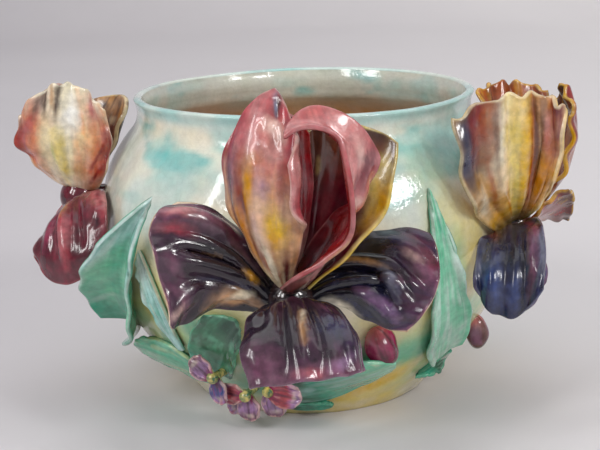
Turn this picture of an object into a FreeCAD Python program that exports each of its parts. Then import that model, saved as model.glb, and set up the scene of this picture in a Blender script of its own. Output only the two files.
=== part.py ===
import FreeCAD, Part
import math
import os
import Sketcher

# A glazed bowl with three modelled irises, leaves, buds and small blossoms.
# Lengths are in millimetres and angles in degrees. The bowl stands on z = 0,
# its axis is z, and the front iris looks towards minus y.

doc = FreeCAD.newDocument("Jardiniere")
sheet = doc.addObject("Spreadsheet::Sheet", "Sizes")

# The bowl: flat foot, straight flare, two belly arcs, neck arc and rolled lip.
BOWL = {
    "foot_radius": 84.0,
    "flare_radius": 116.4,
    "flare_height": 40.0,
    "belly_radius": 145.5,
    "belly_height": 122.0,
    "lower_arc": 130.0,
    "upper_arc": 100.0,
    "shoulder_radius": 121.5,
    "shoulder_height": 187.0,
    "neck_arc": 18.8,
    "rim_radius": 119.2,
    "rim_height": 208.1,
    "lip_thickness": 6.0,
    "lip_arc": 3.3,
    "wall_thickness": 6.0,
    "floor_thickness": 9.0,
}

# Fits shared by every luted piece.
FITS = {
    "slip_gap": 0.15,
    "petal_thickness": 3.4,
    "leaf_thickness": 3.2,
    "lobe_thickness": 2.6,
    "leaf_seat_depth": 0.6,
    "leaf_thinnest": 1.5,
    "soft_corner": 0.5,
    "gape_start": 0.08,
    "gape_reach": 0.35,
    "gape_turn": 0.82,
    "gape_close": 0.75,
}

# Each flower: where it sits round the bowl, how far its centre stands off the
# wall, and the ball and stalk that carry its petals.
FLOWERS = {
    "front_iris": {"azimuth": -4.5, "height": 104.0, "stand_off": 13.75,
                   "ball": 15.0, "stalk": 9.0},
    "left_iris": {"azimuth": -83.0, "height": 142.0, "stand_off": 16.5,
                  "ball": 14.0, "stalk": 8.0},
    "right_iris": {"azimuth": 70.0, "height": 119.0, "stand_off": 3.5,
                   "ball": 14.0, "stalk": 9.0},
    "blossom_left": {"azimuth": -29.0, "height": 40.0, "stand_off": 18.0,
                     "ball": 4.0, "stalk": 2.8},
    "blossom_middle": {"azimuth": -21.0, "height": 26.0, "stand_off": 19.0,
                       "ball": 4.0, "stalk": 2.8},
    "blossom_right": {"azimuth": -13.5, "height": 31.0, "stand_off": 16.0,
                      "ball": 4.0, "stalk": 2.8},
}

# Shape words that a piece leaves out take these values.
PETAL_USUAL = {"bend": 1.0, "point": 0.0, "skew": 0.0, "twist": 0.0,
               "gape": 0.0}
LEAF_USUAL = {"sweep": 0.0, "taper": 0.0, "skew": 0.0, "tilt": 0.0,
              "camber": 0.0, "fold": 0.0}

# Petals. heading turns from outward (0) to the right (90); rise is the climb
# at the claw and rise_tip at the end; out and up place the claw on its ball.
PETALS = {
    "front_fall_left": {
        "flower": "front_iris", "out": 12, "up": 2, "heading": -67,
        "rise": 53, "rise_tip": -3, "bend": 1.45, "length": 88, "width": 91,
        "base": 0.26, "widest": 0.81, "rounding": 0.68, "skew": 0.32,
        "cup": -75, "cup_tip": -20, "twist": -80, "twist_tip": -69},
    "front_fall_right": {
        "flower": "front_iris", "out": 12, "up": 2, "heading": 83,
        "rise": 58, "rise_tip": -17, "bend": 0.42, "length": 81, "width": 74,
        "base": 0.28, "widest": 0.85, "rounding": 0.54, "skew": 0.08,
        "cup": -71, "cup_tip": -20, "twist": 72, "twist_tip": 58},
    "front_fall_centre": {
        "flower": "front_iris", "out": 13, "up": -3, "heading": 17,
        "rise": 57, "rise_tip": -58, "bend": 0.71, "length": 95, "width": 71,
        "base": 0.34, "widest": 0.81, "rounding": 0.15, "skew": -0.33,
        "cup": -37, "cup_tip": -30, "twist": -14, "twist_tip": 10},
    "front_standard_left": {
        "flower": "front_iris", "out": 7, "up": 9, "heading": -28,
        "rise": 43, "rise_tip": 129, "bend": 1.05, "length": 125, "width": 78,
        "base": 0.11, "widest": 0.78, "rounding": 0.95, "skew": 0.08,
        "point": 0.1, "cup": 71, "cup_tip": 45, "twist": -4, "twist_tip": 11},
    "front_standard_right": {
        "flower": "front_iris", "out": 7, "up": 9, "heading": 28,
        "rise": 11, "rise_tip": 132, "bend": 0.85, "length": 141, "width": 89,
        "base": 0.24, "widest": 0.48, "rounding": 0.85, "skew": 0.26,
        "cup": 81, "cup_tip": 60, "twist": 37, "twist_tip": -21,
        "gape": 1.1},
    "front_standard_back": {
        "flower": "front_iris", "out": 8, "up": 8, "heading": 116,
        "rise": 63, "rise_tip": 92, "length": 104, "width": 65,
        "base": 0.21, "widest": 0.65, "rounding": 0.46, "skew": -0.4,
        "cup": 53, "cup_tip": 20, "twist": 23, "twist_tip": 66},
    "front_inner_petal": {
        "flower": "front_iris", "out": 3, "up": 13, "heading": -22,
        "rise": 102, "rise_tip": 83, "length": 103, "width": 28,
        "base": 0.3, "widest": 0.67, "rounding": 0.5, "skew": 0.14,
        "cup": 50, "cup_tip": 80, "twist": 21, "twist_tip": -16},
    "left_standard_near": {
        "flower": "left_iris", "out": 8, "up": 8, "heading": 81,
        "rise": 47, "rise_tip": 105, "bend": 0.86, "length": 80, "width": 81,
        "base": 0.45, "widest": 0.68, "rounding": 0.95, "skew": -0.16,
        "cup": 28, "cup_tip": 28, "twist": -13, "twist_tip": 9},
    "left_standard_wall": {
        "flower": "left_iris", "out": 6, "up": 9, "heading": 186,
        "rise": 60, "rise_tip": 68, "bend": 1.2, "length": 67, "width": 55,
        "base": 0.17, "widest": 0.75, "rounding": 0.7, "skew": 0.26,
        "cup": 51, "cup_tip": 51, "twist": 43, "twist_tip": 17},
    "left_standard_outer": {
        "flower": "left_iris", "out": 8, "up": 8, "heading": -51,
        "rise": 56, "rise_tip": 108, "length": 73, "width": 52,
        "base": 0.18, "widest": 0.71, "rounding": 0.8, "skew": -0.1,
        "cup": 41, "cup_tip": 41},
    "left_fall_near": {
        "flower": "left_iris", "out": 11, "up": -2, "heading": 71,
        "rise": 45, "rise_tip": -98, "bend": 0.53, "length": 75, "width": 76,
        "base": 0.5, "widest": 0.74, "rounding": 0.82, "skew": 0.16,
        "cup": -41, "cup_tip": -41, "twist": 38, "twist_tip": 16},
    "left_fall_far": {
        "flower": "left_iris", "out": 11, "up": -2, "heading": -84,
        "rise": 16, "rise_tip": -98, "bend": 0.51, "length": 71, "width": 43,
        "base": 0.25, "widest": 0.66, "rounding": 0.69, "skew": -0.07,
        "cup": -39, "cup_tip": -39},
    "right_standard_near": {
        "flower": "right_iris", "out": 9, "up": 7, "heading": -70,
        "rise": 25, "rise_tip": 99, "bend": 0.89, "length": 110, "width": 82,
        "base": 0.2, "widest": 0.87, "rounding": 0.43, "skew": -0.38,
        "cup": -41, "cup_tip": -41, "twist": 18, "twist_tip": -3},
    "right_standard_far": {
        "flower": "right_iris", "out": 7, "up": 10, "heading": 116,
        "rise": 97, "rise_tip": 61, "length": 89, "width": 60,
        "base": 0.12, "widest": 0.87, "rounding": 0.44, "skew": -0.07,
        "cup": 65, "cup_tip": 65, "twist": 14, "twist_tip": 3},
    "right_standard_outer": {
        "flower": "right_iris", "out": 8, "up": 8, "heading": 26,
        "rise": 30, "rise_tip": 118, "length": 101, "width": 47,
        "base": 0.28, "widest": 0.7, "rounding": 0.64, "skew": -0.07,
        "cup": 47, "cup_tip": 47},
    "right_fall_near": {
        "flower": "right_iris", "out": 12, "up": 0, "heading": -82,
        "rise": 25, "rise_tip": -105, "bend": 1.22, "length": 97, "width": 56,
        "base": 0.62, "widest": 0.91, "rounding": 0.51, "skew": 0.09,
        "cup": 1, "cup_tip": 1, "twist": 23, "twist_tip": 2},
    "right_fall_outer": {
        "flower": "right_iris", "out": 11, "up": 2, "heading": 20,
        "rise": 37, "rise_tip": 11, "bend": 1.3, "length": 35, "width": 56,
        "base": 0.26, "widest": 0.58, "rounding": 0.47, "skew": 0.18,
        "cup": 0, "cup_tip": 0, "twist": -17, "twist_tip": -44},
    "right_fall_far": {
        "flower": "right_iris", "out": 11, "up": -2, "heading": 82,
        "rise": 7, "rise_tip": -101, "bend": 0.47, "length": 73, "width": 30,
        "base": 0.22, "widest": 0.7, "rounding": 0.72, "skew": -0.13,
        "cup": -43, "cup_tip": -43},
}

# Lobes of the small blossoms: aim turns from the right (0) to upward (90).
LOBES = {
    "blossom_left_lobe_high": {"flower": "blossom_left", "aim": 147,
                               "length": 20, "width": 19, "layer": 0},
    "blossom_left_lobe_low": {"flower": "blossom_left", "aim": 280,
                              "length": 20, "width": 16, "layer": 1},
    "blossom_middle_lobe_left": {"flower": "blossom_middle", "aim": 175,
                                 "length": 19, "width": 17, "layer": 0},
    "blossom_middle_lobe_low": {"flower": "blossom_middle", "aim": 275,
                                "length": 19, "width": 20, "layer": 1},
    "blossom_middle_lobe_far": {"flower": "blossom_middle", "aim": 225,
                                "length": 22, "width": 16, "layer": 2},
    "blossom_right_lobe_right": {"flower": "blossom_right", "aim": 352,
                                 "length": 23, "width": 22, "layer": 0},
    "blossom_right_lobe_low": {"flower": "blossom_right", "aim": 286,
                               "length": 20, "width": 20, "layer": 1},
}
# Lobes of one blossom stand in layers, the front one at the ball's middle.
LOBE_SHAPE = {"lobe_base": 0.35, "lobe_widest": 0.6, "lobe_rounding": 0.9,
              "lobe_flare": 8.0, "lobe_cup": 20.0, "lobe_layer": 4.2}

# Leaves lie on the wall. turn runs from upward (0) to the right (90), sweep is
# the further turn along the leaf, lift the rise of the tip off the wall.
LEAVES = {
    "leaf_left_large": {
        "azimuth": -70, "height": 56, "turn": 42, "sweep": -13,
        "length": 117, "width": 40, "base": 0.6, "widest": 0.25,
        "taper": 0.57, "rounding": 0.9, "point": 0.11, "skew": 0.31,
        "lift": 14, "tilt": -9, "camber": 23},
    "leaf_left_ridge": {
        "azimuth": -43, "height": 52, "turn": -4, "sweep": -14,
        "length": 71, "width": 13, "base": 0.52, "widest": 0.64,
        "taper": 0.19, "rounding": 0.85, "point": 0.02, "lift": 1,
        "tilt": -5, "fold": 3},
    "leaf_left_foot": {
        "azimuth": -38, "height": 29, "turn": -71, "sweep": -18,
        "length": 62, "width": 37, "base": 0.3, "widest": 0.54,
        "rounding": 0.78, "point": 0.0, "lift": 14, "camber": -8},
    "leaf_front_glossy": {
        "azimuth": -33, "height": 38, "turn": 28, "sweep": 15,
        "length": 57, "width": 35, "base": 0.8, "widest": 0.41,
        "rounding": 0.75, "point": 0.04, "skew": -0.21, "lift": 5,
        "tilt": 2, "camber": 3},
    "leaf_front_low": {
        "azimuth": -9, "height": 25, "turn": 83, "sweep": -31,
        "length": 71, "width": 34, "base": 0.79, "widest": 0.35,
        "taper": 0.09, "rounding": 0.62, "point": 0.04, "skew": -0.15,
        "lift": 18, "tilt": -8, "camber": -2},
    "leaf_front_foot": {
        "azimuth": -10, "height": 9, "turn": 88, "sweep": -6,
        "length": 29, "width": 8, "base": 0.54, "widest": 0.32,
        "taper": 0.12, "rounding": 0.68, "point": 0.02, "lift": 5},
    "leaf_right_upright": {
        "azimuth": 50, "height": 37, "turn": -40, "sweep": 41,
        "length": 125, "width": 35, "base": 0.66, "widest": 0.21,
        "taper": 0.46, "rounding": 0.9, "point": 0.08, "lift": 1,
        "camber": 7},
    "leaf_right_foot": {
        "azimuth": 58, "height": 31, "turn": -102, "sweep": -11,
        "length": 26, "width": 14, "base": 0.53, "widest": 0.46,
        "taper": 0.41, "rounding": 0.9, "point": 0.18, "lift": 3,
        "tilt": -8, "camber": 2},
    "leaf_back_left": {
        "azimuth": -128, "height": 34, "turn": -12, "sweep": 24,
        "length": 118, "width": 38, "base": 0.5, "widest": 0.35,
        "taper": 0.5, "rounding": 0.9, "point": 0.1, "lift": 6,
        "camber": 6},
    "leaf_back_centre": {
        "azimuth": 176, "height": 30, "turn": 10, "sweep": -20,
        "length": 104, "width": 42, "base": 0.5, "widest": 0.4,
        "taper": 0.5, "rounding": 0.9, "point": 0.1, "lift": 7,
        "camber": 6},
    "leaf_back_right": {
        "azimuth": 122, "height": 34, "turn": 14, "sweep": -26,
        "length": 116, "width": 36, "base": 0.5, "widest": 0.35,
        "taper": 0.5, "rounding": 0.9, "point": 0.1, "lift": 6,
        "camber": 6},
}

# Buds are egg-shaped and sink a little into the wall's slip.
BUDS = {
    "bud_front": {"azimuth": 18.4, "height": 64.0, "stand_off": 9.0,
                  "half_length": 14.0, "half_width": 10.5, "lean": 20.0},
    "bud_right": {"azimuth": 66.0, "height": 44.0, "stand_off": 7.0,
                  "half_length": 13.0, "half_width": 8.0, "lean": 12.0},
}


def write_sizes():
    """Every number above becomes one aliased cell of the sheet."""
    row = [0]

    def cell(alias, value):
        row[0] += 1
        sheet.set("A%d" % row[0], alias)
        sheet.set("B%d" % row[0], str(value))
        sheet.setAlias("B%d" % row[0], alias)

    for group in (BOWL, FITS, LOBE_SHAPE):
        for alias, value in group.items():
            cell(alias, value)
    for group in (FLOWERS, PETALS, LOBES, LEAVES, BUDS):
        for piece, words in group.items():
            for word, value in words.items():
                if word != "flower":
                    cell(piece + "_" + word, value)


write_sizes()
doc.recompute()


def size(alias):
    return float(sheet.get(alias))


def words_of(piece, words, usual):
    """The shape words of one piece, read back from the sheet."""
    found = dict(usual)
    for word in words:
        if word != "flower":
            found[word] = size(piece + "_" + word)
    return found


def vec(x, y, z):
    return FreeCAD.Vector(x, y, z)


def arc_centre(p, q, radius, hollow):
    """Centre of the arc from p to q; a hollow arc bends towards the axis."""
    mx = (p[0] + q[0]) / 2
    mz = (p[1] + q[1]) / 2
    dx = q[0] - p[0]
    dz = q[1] - p[1]
    chord = math.hypot(dx, dz)
    drop = math.sqrt(radius ** 2 - (chord / 2) ** 2)
    side = 1 if hollow else -1
    return (mx + side * drop * dz / chord, mz - side * drop * dx / chord)


def outer_points(grow):
    """Corner points of the outside profile, moved outward by grow."""
    slope = math.atan2(size("flare_radius") - size("foot_radius"),
                       size("flare_height"))
    out = grow * math.cos(slope)
    down = grow * math.sin(slope)
    lean = 0.76 * grow
    climb = 0.65 * grow
    return [
        (size("foot_radius") + out, 0.0),
        (size("flare_radius") + out, size("flare_height") - down),
        (size("belly_radius") + grow, size("belly_height")),
        (size("shoulder_radius") + lean, size("shoulder_height") + climb),
        (size("rim_radius") + grow, size("rim_height") + climb),
    ]


def outer_arcs(points, grow):
    """The three arcs as (start, end, centre, radius, hollow)."""
    radii = (size("lower_arc") + grow, size("upper_arc") + grow,
             size("neck_arc") - grow)
    arcs = []
    for i, radius in enumerate(radii):
        hollow = i == 2
        centre = arc_centre(points[i + 1], points[i + 2], radius, hollow)
        arcs.append((points[i + 1], points[i + 2], centre, radius, hollow))
    return arcs


PROFILE = outer_points(0.0)
ARCS = outer_arcs(PROFILE, 0.0)


def wall_radius(z):
    """Outside radius of the bowl at height z."""
    foot, flare = PROFILE[0], PROFILE[1]
    if z <= flare[1]:
        return foot[0] + (flare[0] - foot[0]) * max(z, 0.0) / flare[1]
    for start, end, centre, radius, hollow in ARCS:
        if z <= end[1]:
            reach = math.sqrt(max(radius ** 2 - (z - centre[1]) ** 2, 0.0))
            return centre[0] - reach if hollow else centre[0] + reach
    return PROFILE[-1][0]


def arc_edge(start, end, centre, radius, hollow):
    a = math.atan2(start[1] - centre[1], start[0] - centre[0])
    b = math.atan2(end[1] - centre[1], end[0] - centre[0])
    if hollow:
        a = a % (2 * math.pi)
        b = b % (2 * math.pi)
    m = (a + b) / 2
    mid = (centre[0] + radius * math.cos(m), centre[1] + radius * math.sin(m))
    return Part.Arc(vec(start[0], 0, start[1]), vec(mid[0], 0, mid[1]),
                    vec(end[0], 0, end[1])).toShape()


def bowl_core(grow):
    """Solid that fills the bowl out to its outside, grown by grow."""
    pts = outer_points(grow)
    top = pts[-1][1] + size("lip_thickness")
    under = -grow
    corners = [vec(0, 0, under), vec(pts[0][0], 0, under),
               vec(pts[0][0], 0, pts[0][1]), vec(pts[1][0], 0, pts[1][1])]
    edges = [Part.makeLine(corners[i], corners[i + 1]) for i in range(3)]
    for arc in outer_arcs(pts, grow):
        edges.append(arc_edge(*arc))
    rim = vec(pts[-1][0], 0, pts[-1][1])
    lid = vec(pts[-1][0], 0, top)
    edges.append(Part.makeLine(rim, lid))
    edges.append(Part.makeLine(lid, vec(0, 0, top)))
    edges.append(Part.makeLine(vec(0, 0, top), corners[0]))
    face = Part.Face(Part.Wire(edges))
    return face.revolve(vec(0, 0, 0), vec(0, 0, 1), 360)


def build_bowl():
    """The bowl as one revolved sketch with every corner named in the sheet."""
    body = doc.addObject("PartDesign::Body", "Bowl")
    body.Label = "bowl"
    sketch = body.newObject("Sketcher::SketchObject", "BowlProfile")
    plane = [f for f in body.Origin.OriginFeatures if "XZ" in f.Name][0]
    sketch.AttachmentSupport = [(plane, "")]
    sketch.MapMode = "FlatFace"
    wall = size("wall_thickness")
    steep = 1.25
    inner = [
        (size("rim_radius") - size("lip_thickness"), size("rim_height")),
        (size("shoulder_radius") - steep * wall, size("shoulder_height")),
        (size("belly_radius") - wall, size("belly_height")),
        (size("flare_radius") - steep * wall, size("flare_height")),
        (size("foot_radius"), size("floor_thickness")),
    ]
    base = [(0.0, size("floor_thickness")), (0.0, 0.0)]
    points = PROFILE + inner + base
    kinds = {1: ("lower_arc", 1, 0), 2: ("upper_arc", 1, 0),
             3: ("neck_arc", 1, 1), 4: ("lip_arc", 0, 0),
             5: ("neck_arc", 1, 1), 6: ("upper_arc", 1, 0),
             7: ("lower_arc", 1, 0)}
    radius_of = {1: "Sizes.lower_arc", 2: "Sizes.upper_arc",
                 3: "Sizes.neck_arc", 4: "Sizes.lip_arc",
                 5: "Sizes.neck_arc + Sizes.wall_thickness",
                 6: "Sizes.upper_arc - Sizes.wall_thickness",
                 7: "Sizes.lower_arc - Sizes.wall_thickness"}
    value_of = {1: size("lower_arc"), 2: size("upper_arc"),
                3: size("neck_arc"), 4: size("lip_arc"),
                5: size("neck_arc") + wall, 6: size("upper_arc") - wall,
                7: size("lower_arc") - wall}
    count = len(points)
    starts = {}
    for i in range(count):
        p = points[i]
        q = points[(i + 1) % count]
        if i not in kinds:
            sketch.addGeometry(Part.LineSegment(vec(p[0], p[1], 0),
                                                vec(q[0], q[1], 0)), False)
            starts[i] = (1, 2)
            continue
        hollow = kinds[i][2] == 1
        back = i >= 5
        a, b = (q, p) if back else (p, q)
        centre = arc_centre(a, b, value_of[i], hollow)
        first = math.atan2(p[1] - centre[1], p[0] - centre[0])
        last = math.atan2(q[1] - centre[1], q[0] - centre[0])
        # sketch arcs always run anticlockwise
        forward = (last - first) % (2 * math.pi) < math.pi
        lo, hi = (first, last) if forward else (last, first)
        circle = Part.Circle(vec(centre[0], centre[1], 0), vec(0, 0, 1),
                             value_of[i])
        sketch.addGeometry(Part.ArcOfCircle(circle, lo, hi), False)
        starts[i] = (1, 2) if forward else (2, 1)
    for i in range(count):
        j = (i + 1) % count
        sketch.addConstraint(Sketcher.Constraint(
            "Coincident", i, starts[i][1], j, starts[j][0]))
    across = ["foot_radius", "flare_radius", "belly_radius",
              "shoulder_radius", "rim_radius",
              "rim_radius - Sizes.lip_thickness",
              "shoulder_radius - %s * Sizes.wall_thickness" % steep,
              "belly_radius - Sizes.wall_thickness",
              "flare_radius - %s * Sizes.wall_thickness" % steep,
              "foot_radius", None, None]
    upward = [None, "flare_height", "belly_height", "shoulder_height",
              "rim_height", "rim_height", "shoulder_height", "belly_height",
              "flare_height", "floor_thickness", "floor_thickness", None]
    for i in range(count):
        pos = starts[i][0]
        for kind, names, axis, k in (("DistanceX", across, -2, 0),
                                     ("DistanceY", upward, -1, 1)):
            if names[i] is None:
                sketch.addConstraint(Sketcher.Constraint(
                    "PointOnObject", i, pos, axis))
                continue
            n = sketch.addConstraint(Sketcher.Constraint(
                kind, -1, 1, i, pos, points[i][k]))
            sketch.setExpression("Constraints[%d]" % n, "Sizes." + names[i])
    for i in kinds:
        n = sketch.addConstraint(Sketcher.Constraint(
            "Radius", i, value_of[i]))
        sketch.setExpression("Constraints[%d]" % n, radius_of[i])
    turn = body.newObject("PartDesign::Revolution", "BowlTurn")
    turn.Profile = sketch
    turn.ReferenceAxis = (sketch, ["V_Axis"])
    turn.Angle = 360
    sketch.Visibility = False
    doc.recompute()
    return body


def frame_of(azimuth, radius, height):
    """Origin and the right, outward and upward directions at a seat."""
    a = math.radians(azimuth)
    out = vec(math.sin(a), -math.cos(a), 0)
    right = vec(math.cos(a), math.sin(a), 0)
    origin = vec(radius * out.x, radius * out.y, height)
    return origin, right, out, vec(0, 0, 1)


def flower_frame(name):
    height = size(name + "_height")
    radius = wall_radius(height) + size(name + "_stand_off")
    return frame_of(size(name + "_azimuth"), radius, height)


def spine(w, steps):
    """Points, side and face directions along a petal's middle line."""
    rows = []
    pos = [w["out"] * math.sin(math.radians(w["heading"])),
           w["out"] * math.cos(math.radians(w["heading"])), w["up"]]
    h = math.radians(w["heading"])
    hx = math.sin(h)
    hy = math.cos(h)
    step = 1.3 / steps
    last = None
    for k in range(steps + 1):
        y = k * step
        bent = min(y, 1.2) ** w["bend"]
        a = math.radians(w["rise"] + (w["rise_tip"] - w["rise"]) * bent)
        along = (math.cos(a) * hx, math.cos(a) * hy, math.sin(a))
        if last is not None:
            pos = [pos[i] + (along[i] + last[i]) / 2 * step * w["length"]
                   for i in range(3)]
        last = along
        side = (hy, -hx, 0.0)
        face = (-math.sin(a) * hx, -math.sin(a) * hy, math.cos(a))
        tip = w.get("twist_tip", w["twist"])
        t = math.radians(w["twist"] + (tip - w["twist"]) * min(y, 1.0))
        c = math.cos(t)
        s = math.sin(t)
        side_t = tuple(side[i] * c + face[i] * s for i in range(3))
        face_t = tuple(face[i] * c - side[i] * s for i in range(3))
        rows.append((tuple(pos), side_t, face_t))
    return rows, step


def between(rows, step, y):
    """Spine values at y, taken straight between the two nearest rows."""
    k = min(max(y, 0.0) / step, len(rows) - 1.001)
    i = int(k)
    f = k - i
    return [tuple(a + (b - a) * f for a, b in zip(rows[i][n], rows[i + 1][n]))
            for n in range(3)]


def half_width(w, y, u):
    swell = math.sin(math.pi / 2 * min(max(y / w["widest"], 0.0), 1.0))
    full = w["base"] + (1 - w["base"]) * swell
    return w["width"] / 2 * full * (1 + w["skew"] * u)


def petal_point(w, rows, step, u, v):
    """Point of a petal's middle surface, u across and v along."""
    k = w["rounding"]
    x = u * math.sqrt(1 - k * v * v / 2)
    y = v * math.sqrt(1 - k * u * u / 2)
    y += w["point"] * (1 - abs(u)) ** 1.5 * v ** 3
    cup = math.radians(w["cup"] + (w["cup_tip"] - w["cup"]) * v)
    bend = cup * x
    if abs(bend) < 1e-4:
        across = x
        toward = bend * x / 2
    else:
        across = math.sin(bend) / cup
        toward = (1 - math.cos(bend)) / cup
    half = half_width(w, y, u)
    pos, side, face = between(rows, step, y)
    return tuple(pos[i] + half * (side[i] * across + face[i] * toward)
                 for i in range(3))


def soft(x):
    """Zero for negative x and x for positive x, with a rounded corner."""
    corner = size("soft_corner")
    if x > 20 * corner:
        return x
    return corner * math.log(1 + math.exp(x / corner))


def leaf_point(w, path, step, u, v):
    """Place on the unrolled wall, and the under and upper stand-off there."""
    k = w["rounding"]
    x = u * math.sqrt(1 - k * v * v / 2)
    y = v * math.sqrt(1 - k * u * u / 2)
    y += w["point"] * (1 - abs(u)) ** 1.5 * v ** 3
    narrow = min(max((y - w["widest"]) / (1 - w["widest"]), 0.0), 2.0)
    half = half_width(w, y, u) * (1 - w["taper"] * narrow)
    n = min(max(y, 0.0) / step, len(path) - 1.001)
    i = int(n)
    f = n - i
    s = path[i][0] + (path[i + 1][0] - path[i][0]) * f
    t = path[i][1] + (path[i + 1][1] - path[i][1]) * f
    a = math.radians(w["turn"] + w["sweep"] * y)
    off = size("leaf_seat_depth") + w["lift"] * max(y, 0.0) ** 1.5
    off += w["camber"] * x * x
    off += w["tilt"] * x * min(max(2 * y, 0.0), 1.0)
    off += (w["fold"] * (1 - abs(x)) ** 1.3
            * math.sin(math.pi * min(max(y, 0.0), 1.0)))
    thick = size("leaf_thickness")
    gap = size("slip_gap")
    thin = size("leaf_thinnest")
    under = gap + soft(off - thick / 2 - gap)
    upper = under + thin + soft(off + thick / 2 - under - thin)
    place = (s + math.cos(a) * half * x, t - math.sin(a) * half * x)
    return place, under, upper


def leaf_path(w, steps):
    """Middle line of a leaf on the unrolled wall."""
    step = 1.3 / steps
    path = [(0.0, 0.0)]
    for k in range(steps):
        a = math.radians(w["turn"] + w["sweep"] * (k + 0.5) * step)
        s, t = path[-1]
        path.append((s + math.sin(a) * step * w["length"],
                     t + math.cos(a) * step * w["length"]))
    return path, step


def wrap(w, place, off):
    """Lay a point of the unrolled wall onto the bowl, off above it."""
    s, t = place
    z = w["height"] + t
    r = wall_radius(min(max(z, 0.0), PROFILE[-1][1]))
    a = math.radians(w["azimuth"]) + s / r
    return vec((r + off) * math.sin(a), -(r + off) * math.cos(a), z)


def grid_normals(grid):
    """Unit normals of a grid of points from its neighbours."""
    rows = len(grid)
    cols = len(grid[0])
    normals = []
    for i in range(rows):
        line = []
        for j in range(cols):
            i0, i1 = max(i - 1, 0), min(i + 1, rows - 1)
            j0, j1 = max(j - 1, 0), min(j + 1, cols - 1)
            dv = grid[i1][j] - grid[i0][j]
            du = grid[i][j1] - grid[i][j0]
            n = du.cross(dv)
            n.normalize()
            line.append(n)
        normals.append(line)
    return normals


def smooth_skin(grid):
    """Smooth surface drawn by a net of points, held at its four edges."""
    rows = len(grid)
    cols = len(grid[0])
    surface = Part.BSplineSurface()
    surface.buildFromPolesMultsKnots(
        grid, [4] + [1] * (rows - 4) + [4], [4] + [1] * (cols - 4) + [4],
        list(range(rows - 2)), list(range(cols - 2)), False, False, 3, 3)
    return surface


def skinned(upper, under):
    """Closed solid between two nets of points with ruled edges."""
    skins = [smooth_skin(grid) for grid in (upper, under)]
    faces = [skin.toShape() for skin in skins]
    lo_u, hi_u, lo_v, hi_v = skins[0].bounds()
    edges = [[skin.uIso(lo_u), skin.uIso(hi_u), skin.vIso(lo_v),
              skin.vIso(hi_v)] for skin in skins]
    for top, bottom in zip(edges[0], edges[1]):
        faces.append(Part.makeRuledSurface(top.toShape(), bottom.toShape(),
                                           1))
    shell = Part.Shell(faces)
    shell.sewShape()
    solid = Part.Solid(shell)
    if solid.Volume < 0:
        solid.reverse()
    return solid


def thick_sheet(grid, thickness):
    """Solid of even thickness about a grid of middle-surface points."""
    normals = grid_normals(grid)
    sides = []
    for side in (0.5, -0.5):
        sides.append([[p + n * (side * thickness)
                       for p, n in zip(line, nline)]
                      for line, nline in zip(grid, normals)])
    return skinned(sides[0], sides[1])


ACROSS = 11
ALONG = 17


def eased(t):
    """Step from 0 to 1 with level ends."""
    t = min(max(t, 0.0), 1.0)
    return t * t * (3 - 2 * t)


def petal_solid(w, frame, thickness):
    """Thick sheet of a petal. A gape cuts its left edge back above the claw
    and lets it return towards the tip."""
    rows, step = spine(w, 60)
    origin, right, out, up = frame
    grid = []
    for i in range(ALONG):
        v = i / (ALONG - 1)
        opened = eased((v - size("gape_start")) / size("gape_reach"))
        closed = eased((v - size("gape_turn")) / (1 - size("gape_turn")))
        left = -1 + w["gape"] * opened * (1 - size("gape_close") * closed)
        line = []
        for j in range(ACROSS):
            u = left + (1 - left) * j / (ACROSS - 1)
            p = petal_point(w, rows, step, u, v)
            line.append(origin + right * p[0] + out * p[1] + up * p[2])
        grid.append(line)
    return thick_sheet(grid, thickness)


def leaf_solid(w):
    path, step = leaf_path(w, 60)
    upper = []
    under = []
    for i in range(ALONG):
        v = i / (ALONG - 1)
        row = [leaf_point(w, path, step, 2 * j / (ACROSS - 1) - 1, v)
               for j in range(ACROSS)]
        under.append([wrap(w, place, low) for place, low, high in row])
        upper.append([wrap(w, place, high) for place, low, high in row])
    return skinned(upper, under)


def main_solid(shape):
    """The largest solid that a cut leaves."""
    return max(shape.Solids, key=lambda s: s.Volume)


def add_shape(label, shape):
    obj = doc.addObject("Part::Feature", label)
    obj.Shape = shape
    obj.Label = label
    return obj


parts = {}
parts["bowl"] = build_bowl()
gap = size("slip_gap")
core = bowl_core(gap)
envelope = add_shape("wall_envelope", core)


def seat_name(flower):
    return flower + "_seat" if "iris" in flower else flower + "_centre"


def build_seat(flower):
    """Ball on a stalk, cut to sit on the wall one slip gap away."""
    name = seat_name(flower)
    origin, right, out, up = flower_frame(flower)
    ball = doc.addObject("Part::Sphere", name + "_ball")
    ball.setExpression("Radius", "Sizes.%s_ball" % flower)
    ball.Placement.Base = origin
    stalk = doc.addObject("Part::Cylinder", name + "_stalk")
    stalk.setExpression("Radius", "Sizes.%s_stalk" % flower)
    stalk.setExpression("Height", "Sizes.%s_stand_off + Sizes.%s_ball"
                        % (flower, flower))
    stalk.Placement = FreeCAD.Placement(
        origin, FreeCAD.Rotation(vec(0, 0, 1), out * -1))
    whole = doc.addObject("Part::Fuse", name + "_whole")
    whole.Base = ball
    whole.Tool = stalk
    cut = doc.addObject("Part::Cut", name)
    cut.Base = whole
    cut.Tool = envelope
    cut.Label = name
    return cut


def seat_tool(flower):
    """The same ball and stalk, grown by the slip gap."""
    origin, right, out, up = flower_frame(flower)
    ball = Part.makeSphere(size(flower + "_ball") + gap, origin)
    reach = size(flower + "_stand_off") + size(flower + "_ball")
    stalk = Part.makeCylinder(size(flower + "_stalk") + gap, reach,
                              origin, out * -1)
    return ball.fuse(stalk)


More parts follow.
